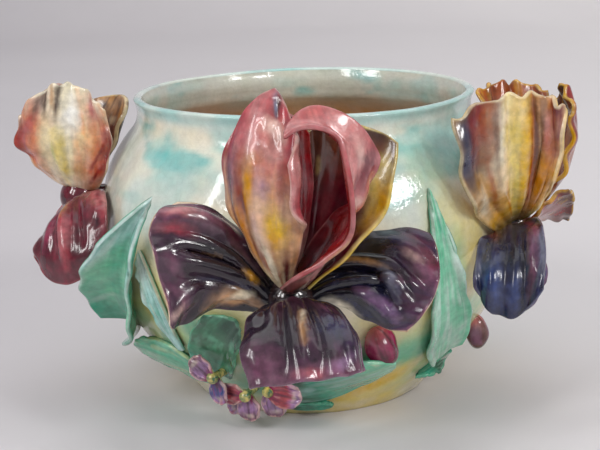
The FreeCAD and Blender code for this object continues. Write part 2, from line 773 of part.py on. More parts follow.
def bud_egg(label, name, grow):
    """Egg of a bud, leaning by its lean angle and grown all round."""
    origin, right, out, up = flower_frame(name)
    egg = doc.addObject("Part::Ellipsoid", label)
    for radius, half in (("Radius1", "length"), ("Radius2", "width"),
                         ("Radius3", "width")):
        egg.setExpression(radius, "Sizes.%s_half_%s + %s" % (name, half, grow))
    egg.Placement = FreeCAD.Placement(
        origin, FreeCAD.Rotation(out, size(name + "_lean")))
    return egg


def bud_tool(name):
    """Shape of the same egg, grown by the slip gap."""
    egg = bud_egg(name + "_room", name, "Sizes.slip_gap")
    doc.recompute()
    return egg.Shape


def build_bud(name):
    """Egg cut to sit on the wall one slip gap away."""
    egg = bud_egg(name + "_egg", name, "0")
    cut = doc.addObject("Part::Cut", name)
    cut.Base = egg
    cut.Tool = envelope
    cut.Label = name
    return cut


tools = {}
for flower in FLOWERS:
    parts[seat_name(flower)] = build_seat(flower)
    tools[flower] = seat_tool(flower)

def lute_sheet(name, w, frame, flower, thickness):
    """Petal cut to its seat, the wall and the petals that are there already;
    its own room, one slip gap larger, is kept for those that follow."""
    solid = petal_solid(w, frame, thickness)
    taken = [room for room in rooms
             if solid.BoundBox.intersect(room.BoundBox)
             and solid.distToShape(room)[0] < gap]
    shape = solid.cut([core, tools[flower]] + taken)
    rooms.append(petal_solid(w, frame, thickness + 2 * gap))
    parts[name] = add_shape(name, main_solid(shape))


rooms = []
for name, words in PETALS.items():
    w = words_of(name, words, PETAL_USUAL)
    w.setdefault("twist_tip", w["twist"])
    lute_sheet(name, w, flower_frame(words["flower"]), words["flower"],
               size("petal_thickness"))

for name, words in LOBES.items():
    w = words_of(name, words, PETAL_USUAL)
    w.update(heading=90.0, rise=w["aim"], rise_tip=w["aim"], twist=90.0,
             twist_tip=90.0 + size("lobe_flare"), cup=size("lobe_cup"),
             cup_tip=size("lobe_cup"), up=0.0, out=0.0,
             base=size("lobe_base"), widest=size("lobe_widest"),
             rounding=size("lobe_rounding"))
    origin, right, out, up = flower_frame(words["flower"])
    origin = origin - out * (w["layer"] * size("lobe_layer"))
    lute_sheet(name, w, (origin, right, out, up), words["flower"],
               size("lobe_thickness"))

for name in BUDS:
    parts[name] = build_bud(name)
    tools[name] = bud_tool(name)

for name, words in LEAVES.items():
    w = words_of(name, words, LEAF_USUAL)
    solid = leaf_solid(w)
    near = [tool for tool in list(tools.values()) + rooms
            if solid.BoundBox.intersect(tool.BoundBox)
            and solid.distToShape(tool)[0] < gap]
    shape = solid.cut(near) if near else solid
    parts[name] = add_shape(name, main_solid(shape))

doc.recompute()

for obj in doc.Objects:
    if "Invalid" in obj.State or "Error" in obj.State:
        raise RuntimeError("object in error: " + obj.Label)

os.makedirs("parts", exist_ok=True)
for name, obj in parts.items():
    shape = obj.Shape
    if shape.isNull() or not shape.isValid():
        raise RuntimeError("bad shape: " + name)
    if len(shape.Solids) != 1:
        raise RuntimeError("not one solid: " + name)
    shape.exportStep("parts/" + name + ".step")
print("parts written:", len(parts))
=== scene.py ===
# %% [markdown]
# # A majolica jardiniere with modelled irises
# The real object is a round earthenware bowl. Irises, leaves, buds and small
# blossoms were modelled by hand from thin sheets of clay, luted to the wall
# with slip, painted with coloured glazes and fired to a wet gloss.
# Nothing on it moves, so every piece rides on one body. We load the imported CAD
# parts first: they fix where each piece sits and how large it may be.

# %% Load the fixed frame
import bpy
from mathutils import Matrix
import numpy as np


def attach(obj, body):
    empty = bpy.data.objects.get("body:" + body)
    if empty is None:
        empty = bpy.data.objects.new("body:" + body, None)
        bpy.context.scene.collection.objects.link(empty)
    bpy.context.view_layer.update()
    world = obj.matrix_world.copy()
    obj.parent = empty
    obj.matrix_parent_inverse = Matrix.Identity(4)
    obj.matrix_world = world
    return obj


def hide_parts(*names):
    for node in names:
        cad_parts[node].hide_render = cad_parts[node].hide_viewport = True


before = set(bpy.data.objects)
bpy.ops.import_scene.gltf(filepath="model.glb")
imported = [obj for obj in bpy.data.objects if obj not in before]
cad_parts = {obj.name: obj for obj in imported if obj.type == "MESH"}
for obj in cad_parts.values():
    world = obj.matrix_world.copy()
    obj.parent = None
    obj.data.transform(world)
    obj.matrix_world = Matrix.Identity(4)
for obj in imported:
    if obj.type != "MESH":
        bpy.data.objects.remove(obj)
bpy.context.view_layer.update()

MM = 0.001

# %% [markdown]
# ## The glaze box
# A majolica painter has a few dozen jars of coloured glaze. We keep the same
# box: every colour has a plain name and is written as a screen colour from 0
# to 255, then turned into the linear values that a shader mixes.

# %% Named glazes
GLAZE = {
    "white": (238, 236, 228), "cream": (230, 222, 196), "ivory": (222, 208, 168),
    "butter": (222, 202, 122), "yellow": (218, 176, 58), "ochre": (192, 140, 46),
    "amber": (190, 122, 46), "honey": (206, 158, 84), "rust": (150, 74, 36), "brown": (88, 52, 38),
    "umber": (52, 33, 29), "tan": (180, 136, 90), "peach": (202, 158, 118),
    "blush": (220, 184, 172), "pink": (188, 120, 118), "rose": (164, 80, 86),
    "coral": (196, 88, 58), "salmon": (214, 142, 98), "red": (134, 34, 34), "wine": (104, 32, 46),
    "maroon": (66, 22, 32), "magenta": (140, 36, 78), "mauve": (118, 76, 96),
    "lilac": (146, 112, 152), "plum": (64, 37, 56), "aubergine": (42, 26, 40), "ink": (20, 18, 27),
    "navy": (36, 40, 70), "cobalt": (60, 78, 130), "steel": (118, 120, 142),
    "mist": (206, 221, 214), "aqua": (164, 206, 200), "turquoise": (108, 184, 182),
    "sea": (120, 196, 160), "jade": (70, 158, 130), "moss": (58, 104, 78), "forest": (34, 72, 56),
    "lime": (182, 192, 120), "straw": (214, 208, 152),
}


def linear(name):
    """A jar's screen colour as linear light: the sRGB curve undone."""
    c = np.array(GLAZE[name]) / 255.0
    return np.where(c <= 0.04045, c / 12.92, ((c + 0.055) / 1.055) ** 2.4)


print("glazes in the box:", len(GLAZE))

# %% [markdown]
# ## Noise
# Hand-laid glaze and hand-pressed clay are never even. A smooth random field
# gives that: random numbers sit on a square lattice, and the values between
# them are eased. Three such fields of finer and finer lattices look cloudy.

# %% Lattice noise
LATTICE = 128


def smooth(t):
    """Eased step: 3t^2 - 2t^3 with t held between 0 and 1."""
    t = np.clip(t, 0.0, 1.0)
    return t * t * (3 - 2 * t)


def field(x, y, seed, cells=LATTICE):
    """Value noise from -1 to 1: random lattice numbers, eased between. It
    repeats in x after so many cells, which closes it round a bowl."""
    table = np.random.default_rng(seed).uniform(-1, 1, (LATTICE, LATTICE))
    i, j = np.floor(x).astype(int), np.floor(y).astype(int)
    a, b = smooth(x - i), smooth(y - j)
    k, m = (i + 1) % cells, (j + 1) % LATTICE
    i, j = i % cells, j % LATTICE
    low = table[i, j] * (1 - a) + table[k, j] * a
    high = table[i, m] * (1 - a) + table[k, m] * a
    return low * (1 - b) + high * b


def cloudy(x, y, seed, cells=32):
    """Three octaves of lattice noise, each twice as fine and half as strong."""
    return (field(x, y, seed, cells) + 0.5 * field(2 * x, 2 * y, seed + 1, 2 * cells)
            + 0.25 * field(4 * x, 4 * y, seed + 2, 4 * cells)) / 1.75


print("noise spread:", np.round(np.ptp(cloudy(*np.mgrid[0:6:60j, 0:6:60j], 1)), 2))

# %% [markdown]
# ## Brushes
# A brush stroke is the set of points near a straight line. Its border is
# ragged because the points are shaken by noise first, it runs thin towards
# both ends, and the hairs leave gaps. A wash is the same without a line: a
# whole coat moves towards one glaze where a mask says so.

# %% Washes and strokes
SHAKE, GRAIN, LEAST_GRAIN = 0.45, 0.9, 2.0
SOFT_BORDER, THIN_END = 1.6, 0.45
HAIR_WIDTH, HAIR_LENGTH, HAIR_GAPS = 2.0, 14.0, 0.6


def wash(coat, name, mask):
    """Move a coat towards one glaze by a mask from 0 to 1."""
    return coat + (linear(name) - coat) * np.clip(mask, 0, 1)[..., None]


def near_line(x, y, x0, y0, x1, y1, radius, border):
    """1 within the radius of a straight line, eased to 0 over the border, and
    the place along the line from 0 to 1."""
    dx, dy = x1 - x0, y1 - y0
    along = ((x - x0) * dx + (y - y0) * dy) / max(dx * dx + dy * dy, 1e-6)
    along = np.clip(along, 0.0, 1.0)
    away = np.hypot(x - x0 - along * dx, y - y0 - along * dy)
    return smooth((radius + border / 2 - away) / border), along


def fade(along):
    """0 at both ends of a line, 1 over its middle third."""
    return smooth(3 * np.minimum(along, 1 - along))


def brush(coat, x, y, strokes, seed):
    """Lay strokes over a coat. A stroke is (glaze, x0, y0, x1, y1, radius,
    strength): its mask falls from 1 to 0 around the radius, measured from the
    line between its two ends, after the points are shaken by noise."""
    for n, (name, x0, y0, x1, y1, radius, strength) in enumerate(strokes):
        shake = SHAKE * radius
        grain = max(radius * GRAIN, LEAST_GRAIN)
        px = x + shake * cloudy(x / grain, y / grain, seed + 7 * n)
        py = y + shake * cloudy(x / grain + 9, y / grain + 5, seed + 7 * n + 3)
        hairs = np.clip(1.0 + HAIR_GAPS * cloudy(x / HAIR_WIDTH, y / HAIR_LENGTH, seed + n), 0, 1)
        near, along = near_line(px, py, x0, y0, x1, y1, radius, SOFT_BORDER * radius)
        ends = THIN_END + (1 - THIN_END) * fade(along)
        mask = strength * hairs * ends * near
        coat = coat + (linear(name) - coat) * mask[..., None]
    return coat


print("hairs of the brush:", HAIR_WIDTH, "x", HAIR_LENGTH, "mm")

# %% [markdown]
# ## From a grid to a mesh
# Every new piece is a grid of points, so one helper turns arrays into a mesh.
# It stores the paint as a colour attribute, because each point knows its own
# colour, and a UV map for whoever wants to bake the glaze later.

# %% Mesh from arrays
def quads(index):
    """Four corners of every cell of an index grid."""
    a, b = index[:-1, :-1], index[:-1, 1:]
    c, d = index[1:, 1:], index[1:, :-1]
    return np.stack([a, b, c, d], axis=-1).reshape(-1, 4)


def new_piece(name, points, faces, paint, spots, finish, caps=None):
    """Mesh from arrays: points in mm, quads and any end triangles, with paint
    and a UV spot for each point."""
    mesh = bpy.data.meshes.new(name)
    mesh.vertices.add(len(points))
    mesh.vertices.foreach_set("co", (points * MM).astype(np.float32).ravel())
    ends = np.zeros((0, 3), int) if caps is None else caps
    corners = np.concatenate([faces.ravel(), ends.ravel()]).astype(np.int32)
    starts = np.concatenate([np.arange(0, faces.size, 4), faces.size + np.arange(0, ends.size, 3)])
    mesh.loops.add(len(corners))
    mesh.loops.foreach_set("vertex_index", corners)
    mesh.polygons.add(len(starts))
    mesh.polygons.foreach_set("loop_start", starts.astype(np.int32))
    mesh.polygons.foreach_set("use_smooth", np.ones(len(starts), dtype=bool))
    colour = mesh.attributes.new("paint", "FLOAT_COLOR", "POINT")
    rgba = np.concatenate([np.clip(paint, 0, 1), np.ones((len(paint), 1))], axis=1)
    colour.data.foreach_set("color", rgba.astype(np.float32).ravel())
    layer = mesh.uv_layers.new(name="glaze_map")
    layer.data.foreach_set("uv", spots[corners].astype(np.float32).ravel())
    mesh.update()
    mesh.validate()
    piece = bpy.data.objects.new(name, mesh)
    bpy.context.scene.collection.objects.link(piece)
    piece.data.materials.append(finish)
    return piece


def keep(piece, node):
    """The piece rides on the one body and stands for its node, which is hidden."""
    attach(piece, "root")
    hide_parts(node)


print("piece maker ready")

# %% [markdown]
# ## From a sheet to a shell
# A petal or leaf is a sheet, so its grid is pushed out to both sides along the
# surface's own normals, and the push fades to nothing at the border. Both
# sides share the border's points, so the shell is closed and its rim is round,
# like clay smoothed with a wet finger. A Solidify modifier would leave a
# square edge, which catches the light in the wrong way.

# %% Shells with a rounded rim
FACE_MAP = 0.49


def unit(a):
    """Vectors scaled to length 1."""
    return a / np.maximum(np.linalg.norm(a, axis=-1, keepdims=True), 1e-12)


def normals_of(grid):
    """Cross product of the grid's two directions of travel."""
    du = np.gradient(grid, axis=1)
    dv = np.gradient(grid, axis=0)
    return unit(np.cross(du, dv))


def rim_distance(grid):
    """Distance to the nearest border, added up along rows and columns. The
    first row is the claw, which sits on its seat and doesn't count."""
    du = np.linalg.norm(np.diff(grid, axis=1), axis=-1)
    dv = np.linalg.norm(np.diff(grid, axis=0), axis=-1)
    left = np.pad(np.cumsum(du, axis=1), ((0, 0), (1, 0)))
    low = np.pad(np.cumsum(dv, axis=0), ((1, 0), (0, 0)))
    return np.minimum(np.minimum(left, left[:, -1:] - left), low[-1:] - low)


def shell(name, grid, thick, face_paint, back_paint, finish):
    """Closed shell about a sheet; half the thickness rises as a quarter
    circle from the rim: h = t/2 * sqrt(1 - (1 - e)^2), e = distance / (t/2).
    The UV map has the face in its left half and the back in its right half."""
    rows, cols = grid.shape[:2]
    e = np.clip(rim_distance(grid) / (thick / 2), 0.0, 1.0)
    h = (thick / 2 * np.sqrt(1 - (1 - e) ** 2))[..., None]
    n = normals_of(grid)
    top = np.arange(rows * cols).reshape(rows, cols)
    under = top.copy()
    inner = (rows - 2) * (cols - 2)
    under[1:-1, 1:-1] = np.arange(inner).reshape(rows - 2, cols - 2) + rows * cols
    points = np.concatenate([(grid + n * h).reshape(-1, 3),
                             (grid - n * h)[1:-1, 1:-1].reshape(-1, 3)])
    paint = np.concatenate([face_paint.reshape(-1, 3),
                            back_paint[1:-1, 1:-1].reshape(-1, 3)])
    b, a = np.meshgrid(np.linspace(0, 1, rows), np.linspace(0, FACE_MAP, cols), indexing="ij")
    spots = np.concatenate([np.stack([a, b], -1).reshape(-1, 2),
                            np.stack([a + 1 - FACE_MAP, b], -1)[1:-1, 1:-1].reshape(-1, 2)])
    faces = np.concatenate([quads(top), quads(under)[:, ::-1]])
    return new_piece(name, points, faces, paint, spots, finish)


print("shell maker ready")

# %% [markdown]
# ## Shader nodes in few words
# A material is a small graph. One helper adds a node and fills its inputs: a
# number or colour is set, and the output of another node is linked.

# %% Node helpers
def new_material(name):
    """Material with nodes switched on, and its main shader."""
    mat = bpy.data.materials.new(name)
    mat.use_nodes = True
    return mat, mat.node_tree.nodes["Principled BSDF"]


def feed(mat, node, inputs):
    """Set each named input, or link it where the value is another socket."""
    for key, value in inputs.items():
        if isinstance(value, bpy.types.NodeSocket):
            mat.node_tree.links.new(value, node.inputs[key])
        else:
            node.inputs[key].default_value = value


def add_node(mat, kind, inputs, **traits):
    """New node of a kind, with traits such as its operation, and its inputs."""
    node = mat.node_tree.nodes.new("ShaderNode" + kind)
    for key, value in traits.items():
        setattr(node, key, value)
    feed(mat, node, inputs)
    return node


def object_place(mat):
    """Socket with the point's place in the object, in metres."""
    return add_node(mat, "TexCoord", {}).outputs["Object"]


def noise(mat, place, scale, detail):
    """Socket with noise about 0.5."""
    return add_node(mat, "TexNoise", {"Vector": place, "Scale": scale, "Detail": detail}).outputs["Fac"]


def ranged(mat, value, low, high, start=0.3, stop=0.7):
    """Socket with a value from start to stop moved to low to high."""
    return add_node(mat, "MapRange", {"Value": value, "From Min": start, "From Max": stop,
                                      "To Min": low, "To Max": high}).outputs["Result"]


def ramp(mat, value, first, last, start=0.0, stop=1.0):
    """Socket with a colour between two linear colours."""
    node = add_node(mat, "ValToRGB", {"Fac": value})
    ends = node.color_ramp.elements
    ends[0].position, ends[1].position = start, stop
    ends[0].color, ends[1].color = (*first, 1), (*last, 1)
    return node.outputs["Color"]


print("node helpers ready")

# %% [markdown]
# ## The glaze itself
# Majolica is a clear, wet, slightly wavy coat over painted colour. The shader
# reads the painted colour from the mesh and breaks it up with fine noise, as
# pigment settles unevenly. A slow ripple and a fine peel bend the highlights,
# the gloss dulls in small patches, and a hair-fine net of crazing darkens a
# few lines. A clear coat adds the sharp window reflections. A piece without
# paint swings between two glazes by noise.

# %% Glaze material
GLASS_IOR, COAT_ROUGHNESS = 1.52, 0.06
CRAZE_NET, CRAZE_WIDTH, CRAZE_COLOUR = 210, 0.035, (0.10, 0.08, 0.06, 1)
# noise cells in a metre
PIGMENT_SCALE, TINT_SCALE, GLOSS_SCALE, RIPPLE_SCALE, PEEL_SCALE = 190, 75, 45, 55, 420
RIPPLE_SHARE, RIPPLE_DEPTH = 5.0, 0.0006
# sockets of the mix node that carry colours
MIX_FIRST, MIX_SECOND, MIX_RESULT = 6, 7, 2


def glaze(name, mottle=0.12, ripple=0.25, rough=(0.07, 0.20), crazing=0.10, clear=0.4,
          pair=None, pair_scale=0):
    """Glossy material. Value = paint * (1 + mottle * noise), crazed where the
    distance to a cell's edge is small; height = 5 slow noise + fine noise."""
    mat, shader = new_material(name)
    place = object_place(mat)
    if pair is None:
        paint = add_node(mat, "Attribute", {}, attribute_name="paint").outputs["Color"]
    else:
        paint = ramp(mat, noise(mat, place, pair_scale, 4), linear(pair[0]), linear(pair[1]), 0.35, 0.65)
    settled = add_node(mat, "HueSaturation", {
        "Color": paint,
        "Value": ranged(mat, noise(mat, place, PIGMENT_SCALE, 5), 1 - mottle, 1 + mottle),
        "Saturation": ranged(mat, noise(mat, place, TINT_SCALE, 3), 1.18, 0.88)})
    net = add_node(mat, "TexVoronoi", {"Vector": place, "Scale": CRAZE_NET}, feature="DISTANCE_TO_EDGE")
    crazed = add_node(mat, "Mix", {
        "Factor": ranged(mat, net.outputs["Distance"], crazing, 0.0, 0.0, CRAZE_WIDTH),
        MIX_FIRST: settled.outputs["Color"], MIX_SECOND: CRAZE_COLOUR}, data_type="RGBA")
    height = add_node(mat, "Math", {0: noise(mat, place, RIPPLE_SCALE, 1), 1: RIPPLE_SHARE,
                                    2: noise(mat, place, PEEL_SCALE, 2)}, operation="MULTIPLY_ADD")
    bump = add_node(mat, "Bump", {"Strength": ripple, "Distance": RIPPLE_DEPTH,
                                  "Height": height.outputs[0]})
    feed(mat, shader, {"IOR": GLASS_IOR, "Coat Weight": clear, "Coat Roughness": COAT_ROUGHNESS,
                       "Base Color": crazed.outputs[MIX_RESULT],
                       "Roughness": ranged(mat, noise(mat, place, GLOSS_SCALE, 4), *rough),
                       "Normal": bump.outputs["Normal"]})
    return mat


BOWL_GLAZE = glaze("bowl_glaze", mottle=0.06, ripple=0.35, rough=(0.06, 0.16))
PETAL_GLAZE = glaze("petal_glaze", mottle=0.22, ripple=0.22, rough=(0.14, 0.32))
FALL_GLAZE = glaze("fall_glaze", mottle=0.35, ripple=0.18, rough=(0.12, 0.28), clear=0.3)
LEAF_GLAZE = glaze("leaf_glaze", mottle=0.16, ripple=0.22, rough=(0.10, 0.26))
SMALL_GLAZE = glaze("small_glaze", mottle=0.25, ripple=0.20, rough=(0.12, 0.30))
print("glaze finishes:", [m.name for m in bpy.data.materials if m.name.endswith("glaze")])

# %% [markdown]
# ## The bowl
# The bowl was thrown or moulded, then squeezed a little while it was soft. Its
# profile is the one of the CAD part: a flat foot, a straight flare, two belly
# arcs, a hollow neck and a rolled lip. All sizes are in millimetres.

# %% Profile of the wall
FOOT, FLARE, BELLY = (84.0, 0.0), (116.4, 40.0), (145.5, 122.0)
SHOULDER, RIM = (121.5, 187.0), (119.2, 208.1)
LOWER_ARC, UPPER_ARC, NECK_ARC = 130.0, 100.0, 18.8
WALL, FLOOR_Z, LIP = 6.0, 9.0, 6.0


def arc_centre(p, q, radius, hollow):
    """Centre of the arc from p to q: the chord's middle moved square to it."""
    p, q = np.array(p), np.array(q)
    chord = np.linalg.norm(q - p)
    drop = np.sqrt(radius ** 2 - (chord / 2) ** 2) * (1 if hollow else -1)
    return (p + q) / 2 + drop * np.array([q[1] - p[1], p[0] - q[0]]) / chord


def wall(z):
    """Outside radius at height z: a straight flare, then three arcs."""
    z = np.clip(z, 0.0, RIM[1])
    r = FOOT[0] + (FLARE[0] - FOOT[0]) * z / FLARE[1]
    for start, end, radius, hollow in ((FLARE, BELLY, LOWER_ARC, False),
                                       (BELLY, SHOULDER, UPPER_ARC, False),
                                       (SHOULDER, RIM, NECK_ARC, True)):
        c = arc_centre(start, end, radius, hollow)
        reach = np.sqrt(np.maximum(radius ** 2 - (z - c[1]) ** 2, 0.0))
        r = np.where(z > start[1], c[0] - reach if hollow else c[0] + reach, r)
    return r


print("wall radius at 0, 60, 122, 190 mm:", np.round(wall(np.array([0, 60, 122, 190.0])), 1))

# %% [markdown]
# We turn the profile round the axis ourselves, and let the wall swell and sink
# by a millimetre or two on the way, because the long window reflections on the
# real wall are broken by just such soft pulls. A Screw modifier would give a
# wall that is too true.

# %% Turned and softened bowl
UNDER, OUTER, ROLLED, INNER = 0, 1, 2, 3
FOOT_ROWS, WALL_ROWS, LIP_ROWS, INNER_ROWS, FLOOR_ROWS, COLUMNS = 14, 125, 15, 70, 16, 288
LIP_RISE, FOOT_ROUND, FLOOR_CORNER, FLOOR_EDGE = 1.9, 1.5, 6.0, 80
NECK_Z, INNER_MIDDLE, INNER_GROWTH = 190, 115, 0.25
SWELL, PULL, PULLS_ROUND, DENT, LIP_WAVE = 1.3, 0.8, 11, 0.35, 0.7


def bowl_profile():
    """Radius, height and side along the section, from the foot's middle, up
    the outside, over a half-round lip, down the inside and to the floor."""
    up = np.linspace(0.0, RIM[1], WALL_ROWS)
    over = np.linspace(0.0, np.pi, LIP_ROWS + 2)[1:-1]
    lip_r = RIM[0] - LIP / 2 + LIP / 2 * np.cos(over)
    lip_z = RIM[1] + LIP_RISE * np.sin(over)
    down = np.linspace(RIM[1], FLOOR_Z + FLOOR_CORNER, INNER_ROWS)
    steep = 1.0 + INNER_GROWTH * smooth(np.abs(down - INNER_MIDDLE) / 80)
    inner = wall(down) - np.where(down > NECK_Z, LIP, WALL * steep)
    floor = np.linspace(FLOOR_EDGE, 4, FLOOR_ROWS)
    under = np.linspace(3, FOOT[0] - FOOT_ROUND, FOOT_ROWS)
    r = np.concatenate([under, wall(up), lip_r, inner, floor])
    z = np.concatenate([np.zeros(FOOT_ROWS), up, lip_z, down, np.full(FLOOR_ROWS, FLOOR_Z)])
    side = np.repeat([UNDER, OUTER, ROLLED, INNER],
                     [FOOT_ROWS, WALL_ROWS, LIP_ROWS, INNER_ROWS + FLOOR_ROWS])
    return r, z, side


def soft_pull(az, z):
    """Millimetres that the soft wall moved: slow swells round the belly, and
    shallow upright pulls that fade out at the foot and at the lip."""
    belt = smooth(z / 50) * smooth((215 - z) / 60)
    swell = SWELL * field(az / 30, z / 70, 11, 12)
    pulls = PULL * np.sin(np.radians(az) * PULLS_ROUND + 1.5 * field(az / 40, z / 60, 12, 9))
    return belt * (swell + pulls) + DENT * field(az / 9, z / 18, 13, 40)


around = np.linspace(-180, 180, COLUMNS + 1)[:-1]
R, Z, SIDE = (np.meshgrid(line, around, indexing="ij")[0] for line in bowl_profile())
AZ = np.broadcast_to(around, R.shape)
R = R + np.where(SIDE > UNDER, soft_pull(AZ, Z), 0.0) * np.where(SIDE == INNER, 0.5, 1.0)
Z = Z + np.where((SIDE == ROLLED) | (Z > 195), LIP_WAVE * field(AZ / 36, AZ * 0 + 3, 14, 10), 0.0)
bowl_grid = np.stack([R * np.sin(np.radians(AZ)), -R * np.cos(np.radians(AZ)), Z], -1)
print("bowl grid:", bowl_grid.shape[:2])

# %% [markdown]
# The painter washed the outside in cream and white, let turquoise run down
# from the lip, and rubbed yellow and leaf green into the lower half. Inside,
# a grey-green wash thins out and shows the tan body. An image texture would
# need a photograph of every side, so we lay the same washes: masks driven by
# height and noise, one glaze after the other.

# %% Washes of the bowl
def flow(cells, tall, seed):
    """Cloudy noise with so many cells round the bowl, each so many mm tall."""
    return cloudy(AZ / 360 * cells, Z / tall, seed, cells)


def clouds(strength, start, gain, cells, tall, seed):
    """Mask of clouds: strength * smooth(start + gain * noise)."""
    return strength * smooth(start + gain * flow(cells, tall, seed))


def above(z, over):
    """Mask that grows from 0 to 1 over so many mm above a height."""
    return smooth((Z - z) / over)


def below(z, over):
    """Mask that grows from 0 to 1 over so many mm below a height."""
    return smooth((z - Z) / over)


def bare_coat(name):
    """The whole bowl in one glaze."""
    return np.ones(AZ.shape + (3,)) * linear(name)


outside = bare_coat("cream")
outside = wash(outside, "white", clouds(0.2, 0.3, 1.3, 15, 46, 21))
outside = wash(outside, "mist", clouds(0.85, 0.5, 1.5, 12, 34, 22) * above(80, 60))
outside = wash(outside, "straw", clouds(0.95, 0.5, 1.3, 14, 40, 23) * below(140, 70))
outside = wash(outside, "aqua", clouds(0.9, 0.1, 1.8, 16, 20, 24) * above(100, 70))
outside = wash(outside, "turquoise", clouds(0.7, -0.4, 2.4, 20, 14, 25) * above(130, 50))
outside = wash(outside, "sea", clouds(0.8, -0.1, 2.0, 20, 24, 26) * below(95, 50))
outside = wash(outside, "tan", clouds(0.30, -0.6, 2.2, 16, 40, 27) * below(175, 60))
outside = wash(outside, "butter", clouds(0.95, 0.2, 1.8, 12, 22, 28) * below(80, 50))
print("washes on the bowl, mean colour:", np.round(outside.mean(axis=(0, 1)), 2))

# %% [markdown]
# Over the washes go single strokes. A row names the glaze, then the two ends
# in millimetres round the wall and up it, the radius and the cover. The lip
# and the inside get washes of their own, and the underside stays bare.

# %% Strokes, lip and inside of the bowl
# at a radius of 126 mm, about the mean of the wall
MM_PER_DEGREE = 2.2
BOWL_STROKES = [
    ("turquoise", -112, 188, -96, 186, 8, 0.6), ("aqua", -104, 166, -60, 170, 6, 0.5),
    ("aqua", 62, 196, 130, 192, 9, 0.7), ("turquoise", 84, 176, 116, 172, 11, 0.5),
    ("aqua", 70, 168, 84, 150, 9, 0.5), ("mist", -110, 150, -50, 122, 16, 0.7),
    ("white", -100, 150, -92, 118, 8, 0.6), ("aqua", -84, 150, -60, 136, 9, 0.5),
    ("white", 84, 146, 100, 130, 10, 0.7), ("tan", -136, 150, -128, 104, 6, 0.5),
    ("butter", -112, 124, -100, 60, 11, 0.7), ("butter", -88, 108, -82, 84, 7, 0.6),
    ("straw", 70, 124, 122, 96, 16, 0.8), ("butter", 96, 118, 116, 88, 12, 0.7),
    ("straw", 78, 168, 96, 112, 16, 0.8), ("butter", 100, 150, 110, 100, 10, 0.6),
    ("sea", 86, 130, 96, 92, 6, 0.5), ("peach", 66, 66, 96, 52, 9, 0.6),
    ("straw", 56, 60, 80, 44, 9, 0.8), ("jade", 0, 40, 80, 48, 11, 0.9),
    ("jade", 60, 46, 128, 62, 10, 0.8), ("sea", 64, 60, 128, 78, 9, 0.7),
    ("sea", -10, 22, 70, 50, 9, 0.9), ("butter", 10, 12, 90, 36, 8, 1),
    ("yellow", 20, 14, 80, 32, 5, 0.8), ("ivory", 10, 4, 60, 6, 4, 0.7),
    ("jade", -120, 62, -84, 44, 12, 0.8), ("sea", -96, 40, -60, 60, 12, 0.8),
    ("tan", -104, 70, -92, 50, 6, 0.7), ("sea", -84, 28, -20, 22, 10, 0.8),
    ("jade", -86, 96, -62, 50, 10, 0.8), ("moss", -72, 70, -50, 44, 6, 0.6),
    ("straw", -74, 104, -60, 84, 5, 0.7), ("straw", -80, 18, -40, 12, 6, 0.6),
    ("sea", 96, 60, 140, 40, 12, 0.7),
]
outside = brush(outside, AZ * MM_PER_DEGREE, Z, BOWL_STROKES, 31)
lip = wash(outside, "mist", 0.8 * above(196, 9))
lip = wash(lip, "turquoise", clouds(0.5, 0.25, 1.8, 15, 30, 29) * above(200, 6))
lip = wash(lip, "steel", clouds(0.4, -0.5, 2, 26, 30, 30) * above(202, 5))
inside = wash(bare_coat("tan"), "peach", clouds(1, 0.4, 1.2, 12, 30, 41))
inside = wash(inside, "ivory", clouds(0.6, -0.1, 1.5, 9, 24, 45))
inside = wash(inside, "mist", 0.7 * smooth((Z - 168 + 8 * flow(16, 30, 46)) / 26))
inside = wash(inside, "aqua", clouds(0.6, 0.0, 1.6, 16, 18, 42) * above(172, 22))
inside = wash(inside, "turquoise", clouds(0.7, -0.4, 2, 26, 12, 43) * above(180, 15))
inside = wash(inside, "moss", clouds(0.34, 0.1, 1.4, 11, 22, 44) * above(165, 30))
bowl_coat = np.where((SIDE == INNER)[..., None], inside, lip)
bowl_coat = np.where((SIDE == UNDER)[..., None], bare_coat("peach"), bowl_coat)
print("strokes on the bowl:", len(BOWL_STROKES))

# %% [markdown]
# The grid closes round the axis by repeating its first column, and two fans of
# triangles close the middle of the foot and of the floor.

# %% Closed bowl mesh
def fans(ring, first, last):
    """Triangles from the first ring and the last ring to their middle points."""
    count = ring.shape[1] - 1
    return np.concatenate([np.stack([np.full(count, first), ring[0, 1:], ring[0, :-1]], -1),
                           np.stack([np.full(count, last), ring[-1, :-1], ring[-1, 1:]], -1)])


def closed_ring(shape):
    """Index grid whose last column is its first one again."""
    ring = np.arange(shape[0] * shape[1]).reshape(shape)
    return np.concatenate([ring, ring[:, :1]], axis=1)


ring = closed_ring(AZ.shape)
bowl_points = np.concatenate([bowl_grid.reshape(-1, 3), [[0, 0, 0], [0, 0, FLOOR_Z]]])
bowl_colours = np.concatenate([bowl_coat.reshape(-1, 3), [linear("peach"), linear("tan")]])
up_the_map = np.arange(AZ.shape[0])[:, None] / AZ.shape[0] + 0 * AZ
spread = np.stack([(AZ + 180) / 360, up_the_map], -1).reshape(-1, 2)
spread = np.concatenate([spread, [[0.5, 0.0], [0.5, 1.0]]])
bowl = new_piece("glazed_bowl", bowl_points, quads(ring), bowl_colours, spread, BOWL_GLAZE,
                 fans(ring, AZ.size, AZ.size + 1))
keep(bowl, "bowl")
print("bowl faces:", len(bowl.data.polygons))

# %% [markdown]
# ## Petals
# Each petal was pressed out as a thin sheet, cupped in the palm, and its edges
# were pinched into ruffles. Three upright standards and three hanging falls
# make an iris. The formula is the CAD part's, so every petal stays on its
# seat, with the hand work added: rolled edges, ruffles, ribs and a beard.
# A middle line leaves the flower's ball and bends as it climbs or falls. Cross
# lines lie square to it. Their slope is added up outward from the middle, so a
# cup is a steady bend and a roll is a sudden one near the edge.

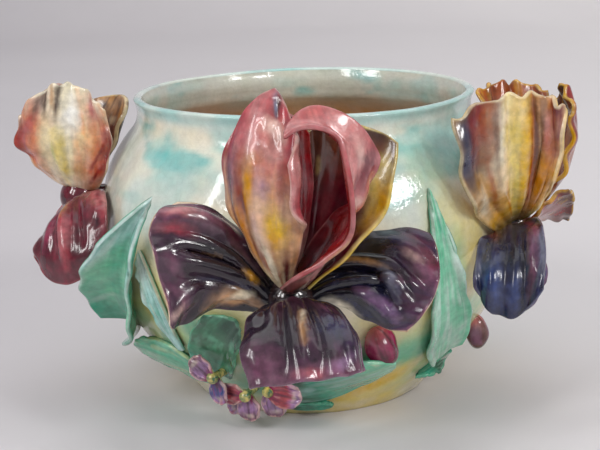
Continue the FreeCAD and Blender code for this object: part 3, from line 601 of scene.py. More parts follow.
# %% Where the flowers sit
FLOWERS = {
    "front_iris": (-4.5, 104.0, 13.75), "left_iris": (-83.0, 142.0, 16.5),
    "right_iris": (70.0, 119.0, 3.5), "blossom_left": (-29.0, 40.0, 18.0),
    "blossom_middle": (-21.0, 26.0, 19.0), "blossom_right": (-13.5, 31.0, 16.0),
    "bud_front": (18.4, 64.0, 9.0), "bud_right": (66.0, 44.0, 7.0),
}


def flower_frame(name):
    """Origin on the wall's outside, with right, outward and upward axes."""
    azimuth, height, stand_off = FLOWERS[name]
    a = np.radians(azimuth)
    out = np.array([np.sin(a), -np.cos(a), 0.0])
    right = np.array([np.cos(a), np.sin(a), 0.0])
    origin = out * (wall(height) + stand_off) + np.array([0, 0, height])
    return origin, np.stack([right, out, np.array([0.0, 0.0, 1.0])])


print("front flower origin:", np.round(flower_frame("front_iris")[0], 1))

# %% [markdown]
# A petal could be sculpted, or bent from a plane with modifiers. We write it
# as a formula with plain words instead, because the CAD solid has the same
# words, and so both keep the same form. Outline and middle line come first.

# %% Outline and middle line of a sheet
# places along a middle line: the tip is at 1, and the line runs on past it
PLACES = np.linspace(0, 1.4, 281)


def spread_even(n, low, high, bias):
    """Parameters from low to high, packed closer towards both ends."""
    t = np.linspace(-1, 1, n)
    return low + (high - low) * ((1 - bias) * t + bias * np.sin(np.pi / 2 * t) + 1) / 2


def sheet_square(rows, cols):
    """Grids of v from claw to tip and of u from side to side."""
    return np.meshgrid(spread_even(rows, 0, 1, 0.35), spread_even(cols, -1, 1, 0.4), indexing="ij")


def rounded(w, u, v):
    """The square rounded towards a disc: x = u sqrt(1 - k v^2 / 2) and
    y = v sqrt(1 - k u^2 / 2), with a point drawn out at the tip."""
    k = w["rounding"]
    x = u * np.sqrt(1 - k * v * v / 2)
    y = v * np.sqrt(1 - k * u * u / 2) + w["point"] * (1 - np.abs(u)) ** 1.5 * v ** 3
    return x, y


def half_width(w, u, y):
    """Half the width swells from the base as a quarter sine up to widest, and
    the skew makes one side wider."""
    swell = np.sin(np.pi / 2 * np.clip(y / w["widest"], 0, 1))
    return w["width"] / 2 * (w["base"] + (1 - w["base"]) * swell) * (1 + w["skew"] * u)


def in_mm(w, u, v):
    """Parameters as millimetres across and along the flat sheet."""
    return 0.5 * w["width"] * u, w["length"] * v


def petal_lines(w, y):
    """Middle line and its two cross directions at y. The climb a runs from
    rise to rise_tip as y^bend; the line is the sum of small steps along
    (cos a * heading, sin a); side and face turn about it by the twist."""
    t = PLACES
    a = w["rise"] + (w["rise_tip"] - w["rise"]) * np.minimum(t, 1.2) ** w["bend"]
    a = np.radians(a)
    h = np.radians(w["heading"])
    hx, hy = np.sin(h), np.cos(h)
    along = np.stack([np.cos(a) * hx, np.cos(a) * hy, np.sin(a)], -1)
    steps = (along[1:] + along[:-1]) / 2 * (t[1] - t[0]) * w["length"]
    line = np.concatenate([np.zeros((1, 3)), np.cumsum(steps, axis=0)])
    line = line + np.array([w["out"] * hx, w["out"] * hy, w["up"]])
    side = np.stack([hy + 0 * a, -hx + 0 * a, 0 * a], -1)
    face = np.stack([-np.sin(a) * hx, -np.sin(a) * hy, np.cos(a)], -1)
    tip = w.get("twist_tip", w["twist"])
    q = np.radians(w["twist"] + (tip - w["twist"]) * np.minimum(t, 1.0))[:, None]
    side, face = side * np.cos(q) + face * np.sin(q), face * np.cos(q) - side * np.sin(q)

    def pick(values):
        return np.stack([np.interp(y, t, values[:, i]) for i in range(3)], -1)
    return pick(line), pick(side), pick(face)


print("places along a middle line:", len(PLACES))

# %% [markdown]
# A smooth formula alone looks like plastic. The maker pinched the edges,
# dragged ribs from the claw, laid a beard along the middle and pushed folds in
# with a wooden tool, so all of these are added square to the sheet. Height
# maps in the shader would be lighter, but the ruffles have to show in outline.

# %% Hand work on a petal
PETAL_USUAL = {
    "bend": 1.0, "point": 0.0, "skew": 0.0, "twist": 0.0, "thick": 3.2, "gape": 0.0,
    "roll_left": 0.0, "roll_right": 0.0, "roll_from": 0.6, "roll_low": 0.15, "roll_high": 0.5,
    "ruffle": 0.0, "waves": 3.0, "end_ruffle": 0.0, "end_waves": 3.0, "ribs": 0.0,
    "rib_count": 7.0, "beard": 0.0, "beard_width": 0.1, "lump": 0.5, "scallop": 0.0,
    "scallops": 5.0, "grain": 0.22, "press": (), "seed": 1,
}


RUFFLE_POWER, END_POWER, LEFT_LAG = 2.2, 5, 0.9
GROOVE_AT, GROOVE_WIDTH, GROOVE_DEPTH, NUB_HEIGHT = 2.1, 0.6, 0.45, 0.15


def hand_work(w, u, v, x, y):
    """Millimetres off the smooth sheet: ruffles that grow with a power of the
    distance from the middle line, waves along the end, uneven ribs that fan
    from the claw, a beard strap with a groove on both sides, the lumps of a
    thumb, and presses: lines pushed in or out with a tool, that fade towards
    both ends."""
    open_up = smooth(v / 0.45)
    wave = np.sin(2 * np.pi * w["waves"] * y + LEFT_LAG * (x < 0))
    edge = w["ruffle"] * np.abs(x) ** RUFFLE_POWER * wave
    end = w["end_ruffle"] * v ** END_POWER * np.sin(np.pi * w["end_waves"] * u)
    fan = u + 0.14 * cloudy(u * 1.6 + 9, v * 2.4, w["seed"])
    uneven = 0.5 + 0.7 * field(u * 2.5 + 17, v * 2 + 4, w["seed"] + 2)
    ribs = w["ribs"] * uneven * np.cos(np.pi * w["rib_count"] * fan) * smooth(v / 0.25) * (1 - 0.5 * v)
    strap = np.exp(-(u / w["beard_width"]) ** 2)
    beside = (np.abs(u) - GROOVE_AT * w["beard_width"]) / (GROOVE_WIDTH * w["beard_width"])
    groove = GROOVE_DEPTH * np.exp(-beside ** 2)
    nubs = 1 + NUB_HEIGHT * np.sin(90 * v) * np.cos(u / w["beard_width"] * 4)
    beard = w["beard"] * (strap * nubs - groove) * smooth(v / 0.15) * smooth((0.85 - v) / 0.4)
    lump = w["lump"] * field(u * 3 + 11, v * 4 + 3, w["seed"] + 5)
    press = np.zeros(u.shape)
    for u0, v0, u1, v1, radius, height in w["press"]:
        ends = (*in_mm(w, u0, v0), *in_mm(w, u1, v1))
        near, along = near_line(*in_mm(w, u, v), *ends, radius, SOFT_BORDER * radius)
        press += height * near * fade(along)
    return open_up * (edge + end + lump) + ribs + beard + press


print("petal words:", len(PETAL_USUAL))

# %% [markdown]
# Now the parts come together. The cup and the rolls give each point its place
# across the middle line, and the hand work lifts it off the smooth sheet.

# %% The petal sheet
# the gape opens from its first place along v and mostly returns from its second
GAPE_AT, GAPE_OVER, RETURN_AT, RETURN_OVER, RETURN_SHARE = 0.08, 0.35, 0.82, 0.18, 0.75


def petal_sheet(w, rows, cols):
    """Grid of a petal's middle surface in its flower's frame, with u and v.
    The gape cuts the left side back and scallops notch the outline. The slope
    across is cup * x plus rolls; its cosine and sine, added up from the
    middle, give the place across and the rise to the face."""
    v, u = sheet_square(rows, cols)
    returned = 1 - RETURN_SHARE * smooth((v - RETURN_AT) / RETURN_OVER)
    low = -1 + w["gape"] * smooth((v - GAPE_AT) / GAPE_OVER) * returned
    u = low + (1 - low) * (u + 1) / 2
    x, y = rounded(w, u, v)
    notch = np.sin(np.pi * w["scallops"] * u) + 0.5 * np.sin(4.6 * w["scallops"] * u + 1)
    y = y + w["scallop"] * notch * v ** 6
    half = half_width(w, u, y) * (1 + 1.5 * w["scallop"] * np.abs(u) ** 4 * np.sin(17 * y))
    cup_tip = w.get("cup_tip", w["cup"])
    cup = np.radians(w["cup"] + (cup_tip - w["cup"]) * v) + 1e-5
    grow = smooth((v - w["roll_low"]) / (w["roll_high"] - w["roll_low"]))
    right = smooth((u - w["roll_from"]) / (1 - w["roll_from"]))
    left = smooth((low - u + 1 - w["roll_from"]) / (1 - w["roll_from"]))
    slope = cup * x + grow * np.radians(w["roll_left"] * left - w["roll_right"] * right)
    mid = cols // 2
    dx = np.diff(x, axis=1)
    mean = (slope[:, 1:] + slope[:, :-1]) / 2
    across = np.pad(np.cumsum(np.cos(mean) * dx, axis=1), ((0, 0), (1, 0)))
    toward = np.pad(np.cumsum(np.sin(mean) * dx, axis=1), ((0, 0), (1, 0)))
    across += (np.sin(cup * x) / cup - across)[:, mid:mid + 1]
    toward += ((1 - np.cos(cup * x)) / cup - toward)[:, mid:mid + 1]
    line, side, face = petal_lines(w, y)
    q = slope[..., None]
    square = face * np.cos(q) - side * np.sin(q)
    hand = hand_work(w, u, v, x, y)
    grid = line + half[..., None] * (side * across[..., None] + face * toward[..., None])
    return grid + square * hand[..., None], u, v


print("petal sheet ready")

# %% [markdown]
# ## Painting a petal
# The glaze runs from the claw to the tip in three colours. Fine streaks follow
# the ribs, the very edge wears thin and shows pale, and then come the strokes
# that make each petal different. Both sides are painted, because the falls
# and the rolled edges show their backs.

# %% Coats for petals
# where the heart and the tip begin along v, and how far each takes to cover
HEART_AT, HEART_OVER, TIP_AT, TIP_OVER = 0.08, 0.28, 0.55, 0.35
PALE_PATCHES, DARK_PATCHES, RIM_COVER, WORN_RIM = 0.34, 0.45, 0.6, 2.2


def petal_coat(w, u, v, rim, coat, strokes, seed):
    """Blend claw, heart and tip glazes along v, drag streaks along the ribs,
    lay the strokes (u and v in place of lengths) and pale the rim."""
    claw, heart, tip, streak, amount, pale = coat
    shift = v + 0.16 * cloudy(u * 2.5 + 20, v * 3 + 20, seed)
    colour = np.ones(u.shape + (3,)) * linear(claw)
    colour = wash(colour, heart, smooth((shift - HEART_AT) / HEART_OVER))
    colour = wash(colour, tip, smooth((shift - TIP_AT) / TIP_OVER))
    drag = cloudy(u * 9 + 30, v * 2.2 + 30, seed + 3)
    colour = wash(colour, streak, amount * smooth(0.15 + 1.5 * drag))
    patch = cloudy(u * 3.4 + 50, v * 4.2 + 50, seed + 9)
    colour = wash(colour, pale, PALE_PATCHES * smooth(-0.5 + 2.4 * patch))
    colour = wash(colour, streak, DARK_PATCHES * smooth(-0.5 - 2.4 * patch))
    fine = cloudy(u * 24 + 20, v * 4 + 10, seed + 6)
    colour = colour * (1 + w["grain"] * fine)[..., None]
    scaled = [(name, *in_mm(w, u0, v0), *in_mm(w, u1, v1), radius, strength)
              for name, u0, v0, u1, v1, radius, strength in strokes]
    colour = brush(colour, *in_mm(w, u, v), scaled, seed + 11)
    uneven = 1.8 * cloudy(u * 6 + 40, v * 6 + 40, seed + 8)
    thin = smooth((WORN_RIM - rim + uneven) / WORN_RIM)
    return wash(colour, pale, RIM_COVER * thin * smooth((v - 0.1) / 0.2))


print("petal coats ready")

# %% [markdown]
# One function makes a petal from its words, and one makes all the petals of a
# table, so the flowers below are only rows of words, strokes and glazes.

# %% From words to a petal
OUTSIDE_SEEN = ("front_standard_left", "front_standard_right",
                "left_standard_near", "right_standard_near")


def make_petal(name, flower, words, coats, finish, strokes=(), presses=(),
               seeds=(100, 200), size=(111, 81), behind=0.0):
    """Sheet, two coats and a shell. Strokes and presses go on the side that is
    seen: the outside for a petal that closes the flower, else the inside."""
    w = {**PETAL_USUAL, **words}
    outside = name in OUTSIDE_SEEN
    w["press"] = [(*line, -height if outside else height) for *line, height in presses]
    grid, u, v = petal_sheet(w, *size)
    rim = rim_distance(grid)
    face = petal_coat(w, u, v, rim, coats[0], () if outside else strokes, w["seed"] + seeds[0])
    back = petal_coat(w, u, v, rim, coats[1], strokes if outside else (), w["seed"] + seeds[1])
    origin, axes = flower_frame(flower)
    # the flower's axes are left-handed, so the grid's normals point to the back
    return shell(name + "_clay", origin - axes[1] * behind + grid @ axes, w["thick"], back, face, finish)


def make_irises(petals, strokes, presses):
    """Every petal of a table: its words, the touch of the hand, and the coats
    of its face and back. The first word of its name says which iris."""
    for name, (words, touch, *coats) in petals.items():
        fall = "fall" in name
        petal = make_petal(name, name.split("_")[0] + "_iris", {**words, **touch}, coats,
                           FALL_GLAZE if fall else PETAL_GLAZE,
                           strokes.get(name, ()), presses.get(name, ()))
        keep(petal, name)


print("petals painted on the outside:", len(OUTSIDE_SEEN))

# %% [markdown]
# ## The front iris
# This flower faces us. Its standards close like a bud about to open: the left
# one folds back a lapel, the right one gapes and shows a dark red inside with
# a thin inner petal. The three falls hang like tongues, dark as ink, with a
# bearded ridge and pale undersides.
# The painter's strokes come first, one short list for each petal. A row names
# the glaze, then the two ends of the stroke in u and v, its radius in
# millimetres and how well it covers. A press has no glaze, and a height in its
# last place: straps and folds are pushed out, creases in.

# %% Strokes and presses of the front iris
FRONT_STROKES = {
    "front_standard_left": [
        ("pink", -0.2, 1, -0.1, 0.7, 8, 0.8), ("pink", 0.2, 0.85, 0.4, 0.6, 8, 0.8),
        ("rose", -0.4, 0.9, -0.3, 0.75, 4, 0.7), ("rose", 0.5, 0.9, 0.5, 0.65, 4, 0.6),
        # umber and steel under the tip: painted shade in the hollow under the folded hood; the blush line
        # in the next row is the pale underside of the fold
        ("umber", 0.15, 1, 0.25, 0.9, 4, 0.9), ("steel", 0.1, 0.97, 0.2, 0.92, 2, 0.9),
        ("blush", 0, 0.84, 0.45, 0.88, 3.5, 1), ("maroon", 0.95, 1, 1, 1, 2, 0.8),
        ("mauve", -0.6, 0.85, -0.5, 0.55, 5, 0.8), ("plum", -0.65, 0.8, -0.6, 0.55, 3, 0.8),
        ("wine", -0.4, 0.75, -0.3, 0.45, 3, 0.8), ("rust", -0.3, 0.75, -0.2, 0.5, 4, 0.9),
        ("ochre", -0.1, 0.7, -0.1, 0.45, 4, 0.9), ("plum", -0.3, 0.6, -0.2, 0.45, 2, 0.7),
        ("lilac", 0.1, 0.65, 0.2, 0.5, 4, 0.6), ("mauve", 0.6, 0.65, 1, 0.75, 2.5, 0.6),
        ("blush", 0.1, 0.55, 0.1, 0.35, 5, 0.7), ("amber", -0.4, 0.5, -0.2, 0.2, 4, 0.8),
        ("yellow", 0.3, 0.5, 0.5, 0.35, 8, 1), ("ochre", 0.25, 0.4, 0.45, 0.33, 3, 0.7),
        ("cream", 0, 0.35, 0.2, 0.15, 5, 0.8), ("rust", -0.2, 0.4, 0, 0.15, 2, 0.8),
        ("wine", 0.6, 0.3, 0.6, 0, 3.5, 0.9), ("rust", 0.4, 0.2, 0.3, 0, 3, 0.8),
        ("brown", -0.2, 0.5, -0.1, 0.2, 2, 0.5), ("wine", 0.5, 0.75, 0.55, 0.4, 2, 0.5),
    ],
    "front_standard_right": [
        ("pink", 0.3, 1, 0.7, 0.9, 5, 0.8), ("blush", 0.6, 0.9, 0.6, 0.8, 3, 0.6),
        ("wine", 0.9, 1, 0.5, 0.6, 3, 0.9), ("wine", 0.5, 0.6, 0.2, 0.45, 2, 0.9),
        ("blush", 0.8, 0.65, 0.2, 0.5, 3, 0.7), ("butter", 0.3, 0.5, 0, 0.35, 3.5, 0.8),
        ("brown", -0.1, 0.3, -0.3, 0.25, 3.5, 0.7),
    ],
    "front_standard_back": [
        ("brown", -0.5, 1, -0.9, 0.9, 8, 0.9), ("umber", -0.6, 1, -0.9, 0.95, 4, 0.7),
        ("butter", -0.9, 0.8, -0.9, 0.5, 7, 0.9), ("yellow", -1, 0.8, -0.9, 0.5, 3, 0.7),
        ("ochre", -0.8, 0.75, -1, 0.6, 2, 0.6), ("rose", 0, 0.6, 0, 0.3, 3.5, 0.5),
    ],
    "front_inner_petal": [
        ("red", 0.6, 1, 0.5, 0.5, 3, 0.8), ("maroon", 0.5, 0.9, 0.3, 0.6, 2, 0.6),
        ("pink", 0.5, 0.7, 0.4, 0.5, 1.5, 0.7),
    ],
    "front_fall_left": [
        ("mauve", -0.7, 0.95, -0.5, 0.5, 9, 0.9), ("pink", -0.6, 0.95, -0.5, 0.75, 4, 0.7),
        ("wine", -0.8, 0.7, -0.5, 0.5, 5, 0.6), ("rose", -0.3, 0.95, -0.2, 0.75, 4, 0.6),
        ("ink", 0, 0.8, -0.1, 0.3, 2.5, 0.9), ("ink", 0.2, 0.7, 0.1, 0.25, 3, 0.8),
        ("tan", 0.1, 0.7, 0, 0.5, 1, 0.5), ("ochre", 0, 0.3, 0, 0.2, 2.5, 0.8),
        ("navy", 0.4, 0.6, 0.2, 0.2, 2.5, 0.7), ("mauve", 0.2, 0.9, 0.4, 0.8, 3.5, 0.6),
        ("mauve", 0.6, 0.8, 0.8, 0.65, 4, 0.7), ("blush", 0.7, 0.75, 0.9, 0.95, 1.5, 0.5),
        ("peach", 0.7, 0.35, 0.5, 0.1, 8, 0.9), ("cream", 0.6, 0.25, 0.3, 0.15, 3, 0.7),
    ],
    "front_fall_right": [
        ("navy", 0.8, 0.6, 0.8, 0.75, 4, 0.7), ("ink", 0.4, 0.4, 0.3, 0.6, 4, 0.7),
        ("mauve", 0.5, 0.8, 0, 1, 6, 0.8), ("wine", 0.7, 0.85, 0.3, 1, 5, 0.6),
        ("plum", -0.2, 0.9, -0.6, 0.85, 4, 0.7), ("blush", 0.5, 0.75, 0.4, 0.85, 2, 0.5),
        ("steel", 0.2, 0.6, -0.4, 0.75, 2.5, 0.6), ("ink", 0.3, 0.7, -0.3, 0.85, 2, 0.8),
        ("lilac", -0.2, 0.4, -0.7, 0.8, 3, 0.6), ("tan", 0.5, 0.3, 0.2, 0.65, 1, 0.5),
        ("cream", -0.5, 0.15, -1, 0.4, 6, 0.9),
    ],
    "front_fall_centre": [
        ("ink", -0.4, 0.4, -0.5, 0.9, 4, 0.9), ("ink", -0.7, 0.5, -0.6, 0.7, 5, 0.8),
        ("tan", -0.2, 0.5, -0.25, 0.75, 2, 0.7), ("cream", -0.15, 0.5, -0.2, 0.6, 1, 0.5),
        ("ink", 0, 0.4, 0, 0.9, 3, 0.7), ("navy", 0.1, 0.6, 0.5, 0.8, 7, 0.8),
        ("mauve", -0.8, 0.75, -0.8, 0.95, 5, 0.5), ("mauve", -0.9, 0.95, 0.8, 0.98, 5, 0.8),
        ("rose", -0.4, 0.95, 0, 0.97, 3, 0.6), ("lilac", 0.1, 0.95, 0.5, 0.9, 3, 0.6),
    ],
}
FRONT_PRESSES = {
    "front_standard_left": [
        (0, 0.8, 0.3, 0.6, 4, -1.5), (-0.1, 0.8, 0.4, 0.85, 4, -1.5), (0.1, 0.98, 0.3, 0.88, 5, -2),
        (-0.3, 0.7, -0.2, 0.4, 4, -1.5), (0, 0.6, 0.1, 0.3, 4, 1.5),
    ],
    "front_standard_right": [
        (0.8, 1, 0.4, 0.5, 3, -2), (0.95, 0.8, 0.6, 0.5, 4, 1.5),
    ],
    "front_fall_left": [
        (0.9, 0.4, 0.6, 0, 7, -3), (0.9, 1, 0.5, 0.5, 5, 4), (0.1, 0.9, 0, 0.2, 2, -3),
        (0.25, 0.9, 0.1, 0.1, 3, 3.5), (0.45, 0.9, 0.3, 0.1, 3, -3), (-0.5, 1, -0.4, 0.4, 8, 5),
        (-0.15, 0.9, -0.1, 0.2, 2, 2),
    ],
    "front_fall_right": [
        (-0.9, 0, -1, 0.5, 6, -3), (0.6, 0.1, 0.2, 0.8, 3, 3), (0.3, 0.5, -0.5, 0.9, 3, 3),
        (0.4, 0.1, 0, 0.7, 3, -3), (0.1, 0.5, -0.7, 0.8, 3, -3), (-0.1, 0.3, -0.9, 0.9, 5, 3),
        (0.8, 0.5, 0.3, 1, 7, 4), (0.6, 0.6, -0.1, 0.95, 3, -2.5),
    ],
    "front_fall_centre": [
        (-0.45, 0.2, -0.5, 1, 2, -2), (-0.2, 0.2, -0.3, 1, 2, -2), (0, 0.2, 0, 1, 2.5, -2),
        (-0.8, 0.5, -0.8, 1, 6, 2.5), (0.5, 0.4, 0.5, 1, 7, 2.5),
    ],
}
print("front petals with strokes:", len(FRONT_STROKES), "with presses:", len(FRONT_PRESSES))

# %% [markdown]
# Now the petals themselves. A row has the words of the formula as the CAD part
# has them, the touch of the hand that is added here, and the coats of the face
# and of the back: claw, heart, tip, streak, how strong the streaks are, rim.

# %% Front iris
FRONT = {
    "front_fall_left": (
        dict(out=12, up=2, heading=-67, rise=53, rise_tip=-3, bend=1.45, length=88, width=91, base=0.26,
             widest=0.81, rounding=0.68, skew=0.32, cup=-75, cup_tip=-20, twist=-80, twist_tip=-69),
        dict(ribs=0.4, rib_count=5, lump=1.2, beard=2.6, beard_width=0.07, end_ruffle=2.2, ruffle=1.6,
             seed=1),
        ("ink", "aubergine", "plum", "ink", 0.5, "mauve"),
        ("tan", "peach", "cream", "tan", 0.4, "peach")),
    "front_fall_right": (
        dict(out=12, up=2, heading=83, rise=58, rise_tip=-17, bend=0.42, length=81, width=74, base=0.28,
             widest=0.85, rounding=0.54, skew=0.08, cup=-71, cup_tip=-20, twist=72, twist_tip=58),
        dict(ribs=0.4, rib_count=5, lump=1.2, beard=2.6, beard_width=0.07, end_ruffle=2.0, ruffle=1.6,
             seed=2),
        ("ink", "ink", "plum", "navy", 0.5, "mauve"), ("tan", "peach", "cream", "tan", 0.4, "peach")),
    "front_fall_centre": (
        dict(out=13, up=-3, heading=17, rise=57, rise_tip=-58, bend=0.71, length=95, width=71, base=0.34,
             widest=0.81, rounding=0.15, skew=-0.33, cup=-37, cup_tip=-30, twist=-14, twist_tip=10),
        dict(ribs=0.5, rib_count=7, lump=1.2, beard=-0.8, end_ruffle=2.6, end_waves=4, ruffle=1.5, seed=3),
        ("ink", "aubergine", "plum", "ink", 0.6, "mauve"),
        ("plum", "mauve", "lilac", "plum", 0.4, "mauve")),
    "front_standard_left": (
        dict(out=7, up=9, heading=-28, rise=43, rise_tip=129, bend=1.05, length=125, width=78, base=0.11,
             widest=0.78, rounding=0.95, skew=0.08, point=0.1, cup=71, cup_tip=45, twist=-4, twist_tip=11),
        dict(ribs=0.5, rib_count=6, roll_right=150, roll_from=0.55, roll_low=0.45, roll_high=0.75,
             ruffle=1.8, waves=3.4, lump=1.5, seed=4),
        ("amber", "rose", "pink", "red", 0.4, "blush"), ("ivory", "peach", "rose", "wine", 0.4, "blush")),
    "front_standard_right": (
        dict(out=7, up=9, heading=28, rise=11, rise_tip=132, bend=0.85, length=141, width=89, base=0.24,
             widest=0.48, rounding=0.85, skew=0.26, cup=81, cup_tip=60, twist=37, twist_tip=-21, gape=1.1),
        dict(roll_left=70, roll_from=0.5, roll_low=0.2, roll_high=0.5, ruffle=2.2, waves=3.6, ribs=0.5,
             lump=1.8, seed=5),
        ("maroon", "red", "red", "wine", 0.5, "pink"), ("brown", "pink", "pink", "rose", 0.45, "rose")),
    "front_standard_back": (
        dict(out=8, up=8, heading=116, rise=63, rise_tip=92, length=104, width=65, base=0.21, widest=0.65,
             rounding=0.46, skew=-0.4, cup=53, cup_tip=20, twist=23, twist_tip=66),
        dict(ruffle=1.6, end_ruffle=2.0, ribs=0.4, seed=6),
        ("maroon", "wine", "brown", "maroon", 0.5, "butter"),
        ("butter", "yellow", "brown", "ochre", 0.5, "butter")),
    "front_inner_petal": (
        dict(out=3, up=13, heading=-22, rise=102, rise_tip=83, length=103, width=28, base=0.3,
             widest=0.67, rounding=0.5, skew=0.14, cup=50, cup_tip=80, twist=21, twist_tip=-16),
        dict(ruffle=0.8, ribs=0.3, seed=7),
        ("blush", "red", "red", "wine", 0.5, "rose"), ("blush", "rose", "red", "wine", 0.5, "pink")),
}
make_irises(FRONT, FRONT_STROKES, FRONT_PRESSES)
print("front iris petals:", len(FRONT))

# %% [markdown]
# ## The side irises
# The left one turns its pale open standard to us, cream in the middle and
# crimson at the sides, over a wine-coloured fall. The right one is a ruffled
# amber fan over an ink-blue fall. Their far petals are seen only from the
# sides. They are made in the same two steps: strokes first.

# %% Strokes and presses of the side irises
SIDE_STROKES = {
    "left_standard_near": [
        ("salmon", -0.9, 0.2, -0.7, 0.9, 16, 0.8), ("salmon", 0.7, 0.1, 0.7, 0.8, 16, 0.8),
        ("coral", -0.95, 0.2, -0.9, 0.9, 11, 1), ("red", -1, 0.4, -0.95, 0.9, 6, 0.9),
        ("rose", -0.7, 0.6, -0.6, 0.9, 5, 0.7), ("tan", -0.6, 0.1, -0.5, 0.5, 4, 0.5),
        ("coral", 0.6, 0, 0.9, 0.7, 11, 1), ("red", 0.9, 0.2, 0.95, 0.8, 8, 1),
        ("red", 0.4, 0.2, 0.8, 0.6, 1.5, 0.8), ("red", 0.5, 0.1, 0.9, 0.4, 2, 0.8),
        ("rose", -0.8, 0.3, -0.8, 0.7, 1.5, 0.8), ("red", -0.9, 0.4, -0.9, 0.7, 1.5, 0.7),
        ("pink", 0.5, 0.7, 0.6, 0.9, 6, 0.7), ("rose", 0.5, 0.75, 0.55, 0.95, 1.5, 0.6),
        ("ivory", -0.4, 0.2, -0.4, 0.8, 5, 0.8), ("white", 0.05, 0.6, 0.15, 0.85, 6, 1),
        ("salmon", 0.2, 0.1, 0.3, 0.45, 6, 0.7), ("tan", 0.1, 0.05, 0.15, 0.3, 3, 0.5),
        ("umber", -0.4, 0.75, -0.45, 1.1, 2.5, 0.9), ("umber", -0.2, 0.7, -0.1, 1.1, 2, 1),
        ("brown", -0.6, 0.8, -0.5, 1, 3, 0.8), ("tan", -0.25, 0.8, -0.25, 1, 1.5, 0.8),
        ("butter", -0.2, 0.1, -0.2, 0.6, 4, 1), ("lime", -0.3, 0.3, -0.3, 0.5, 1.5, 0.6),
        ("umber", -0.4, 0, -0.2, 0, 3, 0.9),
    ],
    "left_standard_wall": [
        ("umber", 0.8, 0.9, 0.4, 0.8, 3, 0.8), ("tan", 0.3, 1, -0.1, 0.95, 2, 0.6),
    ],
    "left_fall_near": [
        ("maroon", -0.5, 0.6, -0.2, 0.9, 9, 0.8), ("maroon", 0.6, 0.6, 0.6, 0.9, 10, 0.8),
        ("rose", 0, 0.15, 0.3, 0.85, 2.5, 0.9), ("tan", 0, 0.1, 0.1, 0.4, 1.5, 0.8),
        ("rose", 0.7, 0.1, 0.9, 0.5, 5, 0.8), ("pink", 0.9, 0.2, 1, 0.5, 2, 0.8),
        ("ink", 0.8, 0.5, 0.85, 0.6, 2.5, 0.8), ("maroon", 0.3, 0.2, 0.5, 0.8, 2, 0.8),
        ("rose", -0.9, 0.5, -0.8, 0.8, 4, 0.7), ("blush", -1, 0.7, -1, 1, 2.5, 0.9),
        ("magenta", -0.3, 0.3, -0.3, 0.7, 4, 0.5),
    ],
    "right_standard_near": [
        ("honey", -0.6, 0, -0.5, 0.7, 18, 1), ("tan", -0.7, 0.3, -0.7, 0.6, 6, 0.5),
        ("cream", -0.4, 0.5, -0.4, 1.1, 9, 1), ("blush", -0.3, 0.5, -0.3, 0.9, 3, 0.6),
        ("butter", -0.2, 0, -0.15, 1.1, 7, 1), ("yellow", 0, 0, 0, 1.1, 3, 0.9),
        ("rust", 0.15, 0.1, 0.1, 1.1, 4, 1), ("brown", 0.2, 0.4, 0.15, 1.1, 2, 0.9),
        ("umber", -0.9, 0.5, -0.8, 1.1, 11, 1), ("navy", -0.9, 0.6, -0.8, 1, 5, 1),
        ("rust", -0.65, 0.7, -0.65, 1.1, 6, 0.9), ("wine", -0.75, 0.8, -0.7, 1.1, 4, 0.8),
        ("rust", 0.5, 0.5, 0.6, 1.1, 8, 0.9), ("wine", 0.7, 0.7, 0.7, 1.1, 5, 0.9),
        ("pink", 0.4, 0.7, 0.4, 0.9, 3, 0.8), ("brown", 0.3, 0.5, 0.3, 1, 2, 0.8),
        ("amber", 0.4, 0.1, 0.5, 0.5, 7, 0.9), ("brown", -0.5, 0.5, -0.5, 1, 1.5, 0.7),
        ("amber", -0.3, 0.1, -0.4, 0.5, 1.5, 0.7), ("rust", -0.6, 0.3, -0.6, 0.7, 1.5, 0.7),
        ("cream", -0.9, 0.3, -0.8, 0.5, 4, 0.7), ("brown", -0.2, 0, 0.2, 0, 4, 0.8),
    ],
    "right_fall_near": [
        ("brown", -0.6, 0.1, 0.6, 0.1, 10, 0.9), ("rust", -0.8, 0.1, -0.4, 0.4, 5, 0.6),
        ("rose", 0.6, 0.2, 0.8, 0.5, 3, 0.6), ("cobalt", -0.6, 0.6, -0.3, 0.9, 8, 0.7),
        ("cobalt", 0.2, 0.7, 0.3, 0.9, 5, 0.6), ("ink", 0, 0.4, 0.2, 0.7, 6, 0.7),
        ("mauve", 0.7, 0.4, 0.7, 0.9, 3, 0.7), ("ink", 0.4, 0.5, 0.4, 1, 2.5, 0.8),
        ("steel", 0.9, 0.5, 0.9, 0.9, 2, 0.6), ("steel", -0.9, 0.7, -0.6, 0.8, 2, 0.5),
    ],
    "right_fall_outer": [
        ("maroon", -0.5, 0.5, 0.5, 1, 9, 0.9), ("yellow", 0.9, 0.4, 1, 1, 2, 0.8),
    ],
}
SIDE_PRESSES = {
    "left_standard_near": [
        (-0.2, 0.1, -0.2, 0.7, 3, 2), (-0.6, 0.2, -0.6, 0.9, 5, 1.5), (0.5, 0.2, 0.5, 0.9, 5, 1.5),
    ],
    "left_fall_near": [
        (0, 0.15, 0.3, 0.85, 3, 3.5), (0.35, 0.15, 0.6, 0.8, 3, -2), (-0.3, 0.15, 0, 0.8, 4, -2),
        (0.75, 0.1, 0.9, 0.6, 5, 3), (-0.7, 0.5, -0.8, 0.9, 6, 2.5),
    ],
    "right_standard_near": [
        (0, 0.1, 0, 1, 3, 2.5), (-0.25, 0.2, -0.25, 1, 3, -1.5), (0.25, 0.2, 0.25, 1, 3, -1.8),
        (-0.5, 0.2, -0.5, 1, 5, 1.8), (0.5, 0.2, 0.5, 1, 5, 1.8), (-0.75, 0.3, -0.75, 1, 3, -1.8),
    ],
    "right_fall_near": [
        (0.4, 0.3, 0.4, 1, 3, -2), (0.7, 0.3, 0.7, 0.9, 3, 1.8), (-0.5, 0.4, -0.4, 1, 6, 1.5),
        (0, 0.1, 0, 0.6, 5, 2),
    ],
}
print("side petals with strokes:", len(SIDE_STROKES), "with presses:", len(SIDE_PRESSES))

